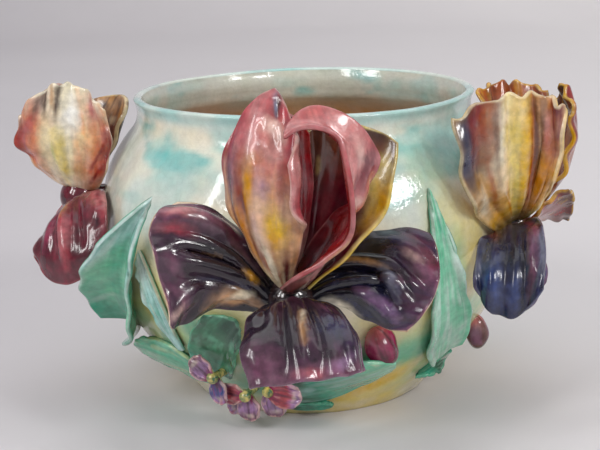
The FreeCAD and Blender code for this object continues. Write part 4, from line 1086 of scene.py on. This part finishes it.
# %% [markdown]
# Then the petals of both flowers, in rows like those of the front iris.

# %% Side irises
SIDES = {
    "left_standard_near": (
        dict(out=8, up=8, heading=81, rise=47, rise_tip=105, bend=0.86, length=80, width=81, base=0.45,
             widest=0.68, rounding=0.95, skew=-0.16, cup=28, twist=-13, twist_tip=9),
        dict(scallop=0.014, ruffle=2.4, waves=3.5, end_ruffle=2.0, end_waves=4, ribs=0.5, lump=1.2,
             seed=21),
        ("cream", "blush", "rose", "red", 0.4, "cream"),
        ("cream", "ivory", "cream", "salmon", 0.35, "cream")),
    "left_standard_wall": (
        dict(out=6, up=9, heading=186, rise=60, rise_tip=68, bend=1.2, length=67, width=55, base=0.17,
             widest=0.75, rounding=0.7, skew=0.26, cup=51, twist=43, twist_tip=17),
        dict(ruffle=1.5, seed=22),
        ("brown", "brown", "tan", "umber", 0.6, "ivory"),
        ("brown", "umber", "brown", "tan", 0.4, "ivory")),
    "left_standard_outer": (
        dict(out=8, up=8, heading=-51, rise=56, rise_tip=108, length=73, width=52, base=0.18, widest=0.71,
             rounding=0.8, skew=-0.1, cup=41),
        dict(ruffle=1.8, end_ruffle=1.5, seed=23),
        ("cream", "rose", "pink", "red", 0.5, "cream"), ("cream", "blush", "rose", "red", 0.4, "cream")),
    "left_fall_near": (
        dict(out=11, up=-2, heading=71, rise=45, rise_tip=-98, bend=0.53, length=75, width=76, base=0.5,
             widest=0.74, rounding=0.82, skew=0.16, cup=-41, twist=38, twist_tip=16),
        dict(ruffle=1.6, lump=1.6, seed=24),
        ("wine", "wine", "wine", "maroon", 0.6, "rose"), ("wine", "maroon", "wine", "rose", 0.3, "pink")),
    "left_fall_far": (
        dict(out=11, up=-2, heading=-84, rise=16, rise_tip=-98, bend=0.51, length=71, width=43, base=0.25,
             widest=0.66, rounding=0.69, skew=-0.07, cup=-39),
        dict(ruffle=1.4, beard=1.8, ribs=0.5, seed=25),
        ("rose", "wine", "wine", "maroon", 0.7, "pink"), ("wine", "maroon", "wine", "rose", 0.3, "pink")),
    "right_standard_near": (
        dict(out=9, up=7, heading=-70, rise=25, rise_tip=99, bend=0.89, length=110, width=82, base=0.2,
             widest=0.87, rounding=0.43, skew=-0.38, cup=-41, twist=18, twist_tip=-3),
        dict(scallop=0.014, ribs=0.8, end_ruffle=2.6, end_waves=5, ruffle=3.2, waves=3.5, lump=1.2,
             seed=26),
        ("butter", "amber", "peach", "rust", 0.5, "butter"),
        ("butter", "honey", "peach", "rust", 0.25, "ivory")),
    "right_standard_far": (
        dict(out=7, up=10, heading=116, rise=97, rise_tip=61, length=89, width=60, base=0.12, widest=0.87,
             rounding=0.44, skew=-0.07, cup=65, twist=14, twist_tip=3),
        dict(scallop=0.012, ruffle=2.6, end_ruffle=2.6, end_waves=4, ribs=0.8, seed=27),
        ("amber", "rust", "rust", "brown", 0.6, "yellow"),
        ("amber", "rust", "red", "brown", 0.6, "yellow")),
    "right_standard_outer": (
        dict(out=8, up=8, heading=26, rise=30, rise_tip=118, length=101, width=47, base=0.28, widest=0.7,
             rounding=0.64, skew=-0.07, cup=47),
        dict(scallop=0.012, ruffle=3.0, waves=4, end_ruffle=2.4, seed=28),
        ("amber", "rust", "brown", "umber", 0.6, "yellow"),
        ("amber", "rust", "red", "brown", 0.6, "yellow")),
    "right_fall_near": (
        dict(out=12, up=0, heading=-82, rise=25, rise_tip=-105, bend=1.22, length=97, width=56, base=0.62,
             widest=0.91, rounding=0.51, skew=0.09, cup=1, twist=23, twist_tip=2),
        dict(rounding=0.75, base=0.5, ruffle=1.6, end_ruffle=2.0, lump=1.6, seed=29),
        ("brown", "navy", "navy", "ink", 0.5, "steel"),
        ("brown", "navy", "cobalt", "plum", 0.4, "mauve")),
    "right_fall_outer": (
        dict(out=11, up=2, heading=20, rise=37, rise_tip=11, bend=1.3, length=35, width=56, base=0.26,
             widest=0.58, rounding=0.47, skew=0.18, cup=0, twist=-17, twist_tip=-44),
        dict(ruffle=1.4, end_ruffle=1.2, seed=30),
        ("rust", "red", "brown", "wine", 0.6, "yellow"), ("rust", "red", "brown", "wine", 0.6, "yellow")),
    "right_fall_far": (
        dict(out=11, up=-2, heading=82, rise=7, rise_tip=-101, bend=0.47, length=73, width=30, base=0.22,
             widest=0.7, rounding=0.72, skew=-0.13, cup=-43),
        dict(ruffle=1.2, beard=1.4, seed=31),
        ("brown", "navy", "cobalt", "ink", 0.6, "mauve"),
        ("brown", "navy", "cobalt", "plum", 0.4, "mauve")),
}
make_irises(SIDES, SIDE_STROKES, SIDE_PRESSES)
print("side iris petals:", len(SIDES))

# %% [markdown]
# ## Leaves
# Sword-shaped leaves were laid on the wet wall and their tips lifted with a
# finger. Each is worked out on the unrolled wall, as a path that turns evenly
# from its foot to its tip, and is then wrapped round the bowl. Its stand-off
# adds the lifted tip, the raised edges, a sideways tilt, a fold along the
# middle, the veins and the wavy border.

# %% The leaf formula
LEAF_USUAL = {"sweep": 0.0, "taper": 0.0, "skew": 0.0, "tilt": 0.0, "camber": 0.0, "fold": 0.0,
              "thick": 3.2, "wave": 1.2, "waves": 3.0, "vein": 0.5, "grain": 0.08, "seed": 1}
SLIP, SOFT, LEAF_ROWS, LEAF_COLUMNS = 0.15, 0.5, 111, 49
LEAST_OFF, LIFT_POWER, FOLD_POWER, VEINS, VEIN_DEPTH, MIDRIB = 0.6, 1.5, 1.3, 7, 0.4, 0.08


def leaf_sheet(w):
    """Grid of a leaf's middle surface. On the unrolled wall the path's angle is
    turn + sweep * y; a point lies half * x to its right. The stand-off is kept
    above half the thickness with a rounded corner, log(1 + exp)."""
    v, u = sheet_square(LEAF_ROWS, LEAF_COLUMNS)
    x, y = rounded(w, u, v)
    narrow = np.clip((y - w["widest"]) / (1 - w["widest"]), 0, 2)
    half = half_width(w, u, y) * (1 - w["taper"] * narrow)
    t = PLACES
    a = np.radians(w["turn"] + w["sweep"] * (t[1:] + t[:-1]) / 2)
    step = (t[1] - t[0]) * w["length"]
    right = np.interp(y, t, np.concatenate([[0], np.cumsum(np.sin(a)) * step]))
    climb = np.interp(y, t, np.concatenate([[0], np.cumsum(np.cos(a)) * step]))
    a = np.radians(w["turn"] + w["sweep"] * y)
    z = w["height"] + climb - np.sin(a) * half * x
    off = LEAST_OFF + w["lift"] * np.maximum(y, 0) ** LIFT_POWER + w["camber"] * x * x
    off += w["tilt"] * x * np.clip(2 * y, 0, 1)
    off += w["fold"] * (1 - np.abs(x)) ** FOLD_POWER * np.sin(np.pi * np.clip(y, 0, 1))
    off += w["wave"] * np.abs(u) ** 2 * np.sin(2 * np.pi * w["waves"] * v + w["seed"]) * smooth(v / 0.3)
    veins = np.cos(np.pi * VEINS * u) * VEIN_DEPTH - np.exp(-(u / MIDRIB) ** 2)
    off += w["vein"] * veins * smooth(v / 0.2)
    off += 0.5 * cloudy(u * 2 + 9, v * 4 + 9, w["seed"])
    floor = w["thick"] / 2 + SLIP
    off = floor + SOFT * np.logaddexp(0, (off - floor) / SOFT)
    r = wall(z)
    az = np.radians(w["azimuth"]) + (right + np.cos(a) * half * x) / r
    r = r + off
    return np.stack([r * np.sin(az), -r * np.cos(az), z], -1), u, v


def make_leaf(name, words, coat, strokes):
    """Sheet, coats and a shell. The fourth glaze of the coat also gathers in
    pools: 0.6 * smooth(noise - 0.25). The back is jade all over."""
    w = {**LEAF_USUAL, **words}
    grid, u, v = leaf_sheet(w)
    face = petal_coat(w, u, v, rim_distance(grid), coat, strokes, w["seed"] + 300)
    pools = smooth(-0.25 + 1.7 * cloudy(u * 1.5 + 5, v * 5 + 5, w["seed"] + 50))
    face = wash(face, coat[3], 0.6 * pools)
    back = np.ones(u.shape + (3,)) * linear("jade")
    return shell(name + "_clay", grid, w["thick"], face, back, LEAF_GLAZE)


print("leaf words:", len(LEAF_USUAL))

# %% [markdown]
# Eleven leaves follow: the big turquoise one at the left, the ones under the
# flowers at the front, the upright one at the right, and three plain ones on
# the back of the bowl.

# %% All the leaves
LEAF_STROKES = {
    "leaf_left_large": [
        ("aqua", 0.2, 1, -0.3, 0.8, 4, 0.6), ("mist", -0.7, 0.9, -0.7, 0.7, 3, 0.5),
        ("jade", -0.9, 0.5, -0.7, 0.1, 5, 0.6), ("moss", -0.6, 0, 0.5, 0, 3.5, 0.5),
        ("mist", -0.9, 0.2, -0.4, 0.3, 2, 0.4),
    ],
    "leaf_right_upright": [
        ("jade", 0, 0.9, 0.2, 0.8, 3, 0.7), ("mist", 0.8, 0.9, 0.8, 0.6, 4, 0.6),
        ("mist", 0.2, 0.2, 0.6, 0, 3, 0.5), ("jade", -0.8, 0.1, -0.6, 0.5, 4, 0.5),
    ],
    "leaf_front_glossy": [
        ("forest", -0.3, 0.95, 0.8, 0.9, 6, 0.6), ("sea", -0.7, 0.3, 0, 0.1, 4, 0.6),
    ],
    "leaf_front_low": [
        ("forest", -0.7, 0.45, -0.9, 0.6, 3, 0.5), ("sea", -0.5, 0.8, 0, 1, 4, 0.6),
        ("cream", -0.8, 1, -0.5, 0.95, 1.5, 0.5),
    ],
}
LEAVES = {
    "leaf_left_large": (
        dict(azimuth=-70, height=56, turn=42, sweep=-13, length=117, width=40, base=0.6, widest=0.25,
             taper=0.57, rounding=0.9, point=0.11, skew=0.31, lift=14, tilt=-9, camber=23, seed=51),
        ("jade", "sea", "aqua", "jade", 0.35, "mist")),
    "leaf_left_ridge": (
        dict(azimuth=-43, height=52, turn=-4, sweep=-14, length=71, width=13, base=0.52, widest=0.64,
             taper=0.19, rounding=0.85, point=0.02, lift=1, tilt=-5, fold=3, seed=52),
        ("aqua", "aqua", "mist", "jade", 0.3, "cream")),
    "leaf_left_foot": (
        dict(azimuth=-38, height=29, turn=-71, sweep=-18, length=62, width=37, base=0.3, widest=0.54,
             rounding=0.78, point=0.0, lift=14, camber=-8, seed=53),
        ("jade", "sea", "sea", "jade", 0.4, "straw")),
    "leaf_front_glossy": (
        dict(azimuth=-33, height=38, turn=28, sweep=15, length=57, width=35, base=0.8, widest=0.41,
             rounding=0.75, point=0.04, skew=-0.21, lift=5, tilt=2, camber=3, seed=54),
        ("jade", "moss", "forest", "moss", 0.5, "sea")),
    "leaf_front_low": (
        dict(azimuth=-9, height=25, turn=83, sweep=-31, length=71, width=34, base=0.79, widest=0.35,
             taper=0.09, rounding=0.62, point=0.04, skew=-0.15, lift=18, tilt=-8, camber=-2, seed=55),
        ("moss", "jade", "sea", "aqua", 0.4, "sea")),
    "leaf_front_foot": (
        dict(azimuth=-10, height=9, turn=88, sweep=-6, length=29, width=8, base=0.54, widest=0.32,
             taper=0.12, rounding=0.68, point=0.02, lift=5, wave=0.4, vein=0.3, seed=56),
        ("moss", "jade", "jade", "forest", 0.7, "sea")),
    "leaf_right_upright": (
        dict(azimuth=50, height=37, turn=-40, sweep=41, length=125, width=35, base=0.66, widest=0.21,
             taper=0.46, rounding=0.9, point=0.08, lift=1, camber=7, seed=57),
        ("sea", "sea", "sea", "mist", 0.4, "mist")),
    "leaf_right_foot": (
        dict(azimuth=58, height=31, turn=-102, sweep=-11, length=26, width=14, base=0.53, widest=0.46,
             taper=0.41, rounding=0.9, point=0.18, lift=3, tilt=-8, camber=2, wave=0.5, seed=58),
        ("jade", "moss", "jade", "forest", 0.5, "sea")),
    "leaf_back_left": (
        dict(azimuth=-128, height=34, turn=-12, sweep=24, length=118, width=38, base=0.5, widest=0.35,
             taper=0.5, rounding=0.9, point=0.1, lift=6, camber=6, seed=59),
        ("sea", "sea", "aqua", "jade", 0.5, "mist")),
    "leaf_back_centre": (
        dict(azimuth=176, height=30, turn=10, sweep=-20, length=104, width=42, base=0.5, widest=0.4,
             taper=0.5, rounding=0.9, point=0.1, lift=7, camber=6, seed=60),
        ("jade", "sea", "aqua", "moss", 0.5, "mist")),
    "leaf_back_right": (
        dict(azimuth=122, height=34, turn=14, sweep=-26, length=116, width=36, base=0.5, widest=0.35,
             taper=0.5, rounding=0.9, point=0.1, lift=6, camber=6, seed=61),
        ("sea", "jade", "aqua", "jade", 0.5, "mist")),
}
for name, (words, coat) in LEAVES.items():
    leaf = make_leaf(name, words, coat, LEAF_STROKES.get(name, ()))
    keep(leaf, name)
print("leaves:", len(LEAVES))

# %% [markdown]
# ## Small blossoms
# Low on the front a few violets are tucked under the big fall. Their lobes are
# small petals that face outward, in layers behind each other, so the petal
# formula serves again. A row has the blossom, the aim of the lobe in degrees,
# its length and width, and its layer.

# %% Lobes of the blossoms
LOBES = {
    "blossom_left_lobe_high": ("blossom_left", 147, 20, 19, 0),
    "blossom_left_lobe_low": ("blossom_left", 280, 20, 16, 1),
    "blossom_middle_lobe_left": ("blossom_middle", 175, 19, 17, 0),
    "blossom_middle_lobe_low": ("blossom_middle", 275, 19, 20, 1),
    "blossom_middle_lobe_far": ("blossom_middle", 225, 22, 16, 2),
    "blossom_right_lobe_right": ("blossom_right", 352, 23, 22, 0),
    "blossom_right_lobe_low": ("blossom_right", 286, 20, 20, 1),
}
LOBE_LAYER = 4.2
LOBE_COATS = [("magenta", "lilac", "mauve", "plum", 0.7, "blush"),
              ("plum", "cobalt", "lilac", "magenta", 0.5, "blush"),
              ("magenta", "rose", "lilac", "plum", 0.6, "blush")]
LOBE_BACK = ("lime", "mauve", "lilac", "plum", 0.4, "blush")
LOBE_STROKES = [("plum", 0, 0.1, 0.0, 0.75, 1.0, 0.7), ("cream", -0.4, 0.75, 0.4, 0.8, 1.2, 0.35)]
for n, (name, (flower, aim, length, width, layer)) in enumerate(LOBES.items()):
    words = {"heading": 90, "rise": aim, "rise_tip": aim, "out": 0, "up": 0, "twist": 90,
             "twist_tip": 98, "length": length, "width": width, "base": 0.35, "widest": 0.6,
             "rounding": 0.9, "cup": 20, "thick": 2.4, "seed": 400 + 10 * n, "ruffle": 0.9,
             "waves": 2, "end_ruffle": 0.9, "end_waves": 2.5, "ribs": 0.25, "rib_count": 5, "lump": 0.4}
    lobe = make_petal(name, flower, words, (LOBE_COATS[n % 3], LOBE_BACK), SMALL_GLAZE, LOBE_STROKES,
                      seeds=(0, 1), size=(41, 37), behind=layer * LOBE_LAYER)
    keep(lobe, name)
print("lobes:", len(LOBES))

# %% [markdown]
# ## Buds
# The buds are eggs with a twist: a circle is carried along the bud's axis, its
# radius follows a half circle, and shallow furrows wind round it as the petals
# of a closed bud do.

# %% Twisted eggs
EGG_ROWS, EGG_COLUMNS = 49, 64
BUD_TWIST, BUD_FURROW = 2.2, 0.09


def twisted_egg(name, middle, axis, side, reach, radius, coat, finish):
    """Closed egg: along the axis t runs from -1 to 1, the radius is the circle
    sqrt(1 - t^2) with furrow * cos(3 turn + twist * t) cut into it."""
    t = np.cos(np.linspace(np.pi, 0, EGG_ROWS))[1:-1]
    turns = np.linspace(0, 2 * np.pi, EGG_COLUMNS + 1)[:-1]
    T, A = np.meshgrid(t, turns, indexing="ij")
    other = np.cross(axis, side)
    furrow = 1 + BUD_FURROW * np.cos(3 * A + BUD_TWIST * T) * (1 - T ** 2)
    r = radius * np.sqrt(1 - T ** 2) * furrow
    grid = (middle + axis * (reach * T)[..., None] + side * (r * np.cos(A))[..., None]
            + other * (r * np.sin(A))[..., None])
    index = closed_ring(T.shape)
    points = np.concatenate([grid.reshape(-1, 3), [middle - axis * reach, middle + axis * reach]])
    paint = coat(T, A)
    paint = np.concatenate([paint.reshape(-1, 3), paint[0, :1], paint[-1, :1]])
    spots = np.stack([A / (2 * np.pi), (T + 1) / 2], -1).reshape(-1, 2)
    spots = np.concatenate([spots, [[0.5, 0], [0.5, 1]]])
    return new_piece(name, points, quads(index), paint, spots, finish, fans(index, T.size, T.size + 1))


def bud_coat(low, middle, high, dark, seed):
    """Three glazes from the foot to the tip, dragged round the bud by noise,
    and a dark one in the streaks."""
    def coat(t, a):
        drag = cloudy(np.cos(a) * 2.5 + 20 + 0.5 * t, np.sin(a) * 2.5 + 20, seed)
        colour = np.ones(t.shape + (3,)) * linear(low)
        colour = wash(colour, middle, smooth((t + 0.75 + 0.3 * drag) / 0.4))
        colour = wash(colour, high, smooth((t - 0.25 + 0.4 * drag) / 0.6))
        return wash(colour, dark, 0.8 * smooth(0.1 + 1.8 * drag))
    return coat


BUDS = {"bud_front": (20, 14.0, 10.5, bud_coat("wine", "magenta", "rose", "maroon", 500)),
        "bud_right": (12, 13.0, 8.0, bud_coat("brown", "mauve", "pink", "brown", 510))}
for name, (lean, reach, radius, coat) in BUDS.items():
    origin, (right, out, up) = flower_frame(name)
    axis = up * np.cos(np.radians(lean)) - right * np.sin(np.radians(lean))
    bud = twisted_egg(name + "_clay", origin, axis, out, reach, radius, coat, SMALL_GLAZE)
    keep(bud, name)
print("buds:", len(BUDS))

# %% [markdown]
# The yellow buttons of the violets and the balls that carry the big petals are
# good as the CAD has them: a ball on a short stalk, mostly hidden. They keep
# their solids and only get a finish, a noise that swings between two glazes.

# %% Finish for seats and buttons
def plain_glaze(name, first, second, scale):
    """Glaze without paint: noise of this scale swings between two jars."""
    return glaze(name, mottle=0.2, pair=(first, second), pair_scale=scale)


SEAT_GLAZES = {"front_iris_seat": plain_glaze("front_seat_glaze", "ink", "umber", 120),
               "left_iris_seat": plain_glaze("left_seat_glaze", "wine", "maroon", 120),
               "right_iris_seat": plain_glaze("right_seat_glaze", "brown", "umber", 120)}
BUTTON_GLAZE = plain_glaze("button_glaze", "moss", "butter", 300)
for name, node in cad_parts.items():
    if name.endswith("_seat") or (name.startswith("blossom") and name.endswith("_centre")):
        node.data.materials.clear()
        node.data.materials.append(SEAT_GLAZES.get(name, BUTTON_GLAZE))
        print("finish on", name)

# %% [markdown]
# ## Stage, light and camera
# The bowl stands on a pale lilac-grey cloth that sweeps up all round it, so
# that the pot can be seen from every side. The sweep is one more profile
# turned about the axis: flat floor, quarter circle, wall. Its colour grows
# paler to the right and far away, with a little noise. These two ramps are
# painted light: the right side lit more, and the far cloth lightened against the fall of the lamps' light.

# %% Floor sweep
FLAT, BEND, WALL_TOP, UNDER_FOOT = 2500.0, 700.0, 2600.0, 0.05
FLAT_ROWS, BEND_ROWS, SWEEP_COLUMNS = 60, 24, 97
quarter = np.linspace(0, np.pi / 2, BEND_ROWS)[1:]
reach = np.concatenate([np.linspace(0.5, FLAT, FLAT_ROWS), FLAT + BEND * np.sin(quarter), [FLAT + BEND]])
level = np.concatenate([np.zeros(FLAT_ROWS), BEND - BEND * np.cos(quarter), [WALL_TOP]]) - UNDER_FOOT
DISTANCE, TURN = np.meshgrid(reach, np.linspace(0, 2 * np.pi, SWEEP_COLUMNS), indexing="ij")
LEVEL = level[:, None] + 0 * TURN
sweep_points = np.stack([DISTANCE * np.cos(TURN), DISTANCE * np.sin(TURN), LEVEL], -1).reshape(-1, 3)
sweep_mesh = bpy.data.meshes.new("cloth_sweep")
sweep_mesh.from_pydata((sweep_points * MM).tolist(), [],
                       quads(np.arange(TURN.size).reshape(TURN.shape)).tolist())
sweep_mesh.polygons.foreach_set("use_smooth", np.ones(len(sweep_mesh.polygons), dtype=bool))
sweep = bpy.data.objects.new("cloth_sweep", sweep_mesh)
bpy.context.scene.collection.objects.link(sweep)
print("sweep faces:", len(sweep_mesh.polygons))

# %% [markdown]
# The cloth is rough and hardly shines. Two slow ramps of painted light and a noise
# mix a shaded and a light grey, which from every side looks like one sheet of cloth.

# %% Cloth
CLOTH_SHADE, CLOTH_LIGHT = (0.40, 0.38, 0.42), (0.92, 0.90, 0.90)
WEAVE_SHARE = 0.5
cloth, cloth_shader = new_material("pale_cloth")
spot = object_place(cloth)
weave = add_node(cloth, "TexNoise", {"Scale": 3.0, "Detail": 6}).outputs["Fac"]
# painted light: the cloth grows paler towards +x and with distance from the axis
painted_light_to_right = add_node(cloth, "SeparateXYZ", {"Vector": spot}).outputs["X"]
far = add_node(cloth, "VectorMath", {0: spot}, operation="LENGTH").outputs["Value"]
both = add_node(cloth, "Math", {0: ranged(cloth, painted_light_to_right, 0.0, 0.6, -0.9, 0.9),
                                1: ranged(cloth, far, 0.0, 0.24, 0.5, 2.6)}).outputs["Value"]
blend = add_node(cloth, "Math", {0: weave, 1: WEAVE_SHARE, 2: both}, operation="MULTIPLY_ADD")
feed(cloth, cloth_shader, {"Roughness": 0.9, "Specular IOR Level": 0.15,
                           "Base Color": ramp(cloth, blend.outputs["Value"], CLOTH_SHADE, CLOTH_LIGHT)})
sweep_mesh.materials.append(cloth)
print("nodes in the cloth:", len(cloth.node_tree.nodes))

# %% [markdown]
# Window light comes from both sides above the camera, in two upright panes on
# each side, and the wet gloss mirrors them. A broad ceiling light and a pale
# room fill the shadows.

# %% Windows and room light
WINDOWS = {
    "window_left_near": ((-1.05, -1.35, 1.25), (0.22, 0.95), 9.5),
    "window_left_far": ((-1.45, -0.95, 1.25), (0.22, 0.95), 9.5),
    "window_right_near": ((1.00, -1.38, 1.20), (0.20, 0.36), 7),
    "window_right_far": ((1.40, -1.02, 1.20), (0.20, 0.36), 7),
}
WINDOW_AIM, WINDOW_COLOUR = (0, 0, 0.1), (1.0, 0.99, 0.98)
ROOM_COLOUR, ROOM_STRENGTH = (0.80, 0.79, 0.82, 1), 0.42


def stand(name, data, right, up, back, place):
    """New object whose matrix has the three axes and the place as columns."""
    obj = bpy.data.objects.new(name, data)
    bpy.context.scene.collection.objects.link(obj)
    obj.matrix_world = Matrix([[right[i], up[i], back[i], place[i]] for i in range(3)] + [[0, 0, 0, 1]])
    return obj


def lamp(name, place, aim, size, power, colour=(1, 1, 1)):
    """Rectangular window whose minus z axis points from its place to its aim."""
    light = bpy.data.lights.new(name, "AREA")
    light.shape = "RECTANGLE"
    light.size, light.size_y = size
    light.energy = power
    light.color = colour
    back = unit(np.array(place, float) - np.array(aim, float))
    right = unit(np.cross([0, 0, 1.0], back))
    return stand(name, light, right, np.cross(back, right), back, place)


for name, (place, size, power) in WINDOWS.items():
    lamp(name, place, WINDOW_AIM, size, power, WINDOW_COLOUR)
lamp("ceiling", (0.0, 0.7, 2.5), (0, 0.69, 0), (3.0, 3.0), 26)
room = bpy.data.worlds.new("room")
room.use_nodes = True
room.node_tree.nodes["Background"].inputs["Color"].default_value = ROOM_COLOUR
room.node_tree.nodes["Background"].inputs["Strength"].default_value = ROOM_STRENGTH
bpy.context.scene.world = room
bpy.context.scene.view_settings.view_transform = "Standard"
print("lamps:", len(bpy.data.lights))

# %% [markdown]
# The photograph was taken a little above the rim from about a metre away. The
# camera's place, tilt and small roll were worked out from the ellipses of the
# rim and the foot.

# %% Camera
CAMERA_PLACE, CAMERA_TILT, CAMERA_ROLL = (-0.0052, -0.950, 0.348), 13.98, 1.74
FOCAL_PIXELS, PHOTO_PIXELS, SENSOR_MM = 1357.1, 600, 36.0
tilt, roll = np.radians(CAMERA_TILT), np.radians(CAMERA_ROLL)
ahead = np.array([0.0, np.cos(tilt), -np.sin(tilt)])
level_right = np.array([1.0, 0.0, 0.0])
level_up = np.cross(level_right, ahead)
cam_right = np.cos(roll) * level_right - np.sin(roll) * level_up
cam_up = np.sin(roll) * level_right + np.cos(roll) * level_up
camera_data = bpy.data.cameras.new("camera")
camera_data.sensor_width = SENSOR_MM
camera_data.lens = FOCAL_PIXELS / PHOTO_PIXELS * SENSOR_MM
bpy.context.scene.camera = stand("camera", camera_data, cam_right, cam_up, -ahead, CAMERA_PLACE)
print("lens:", round(camera_data.lens, 1), "mm")
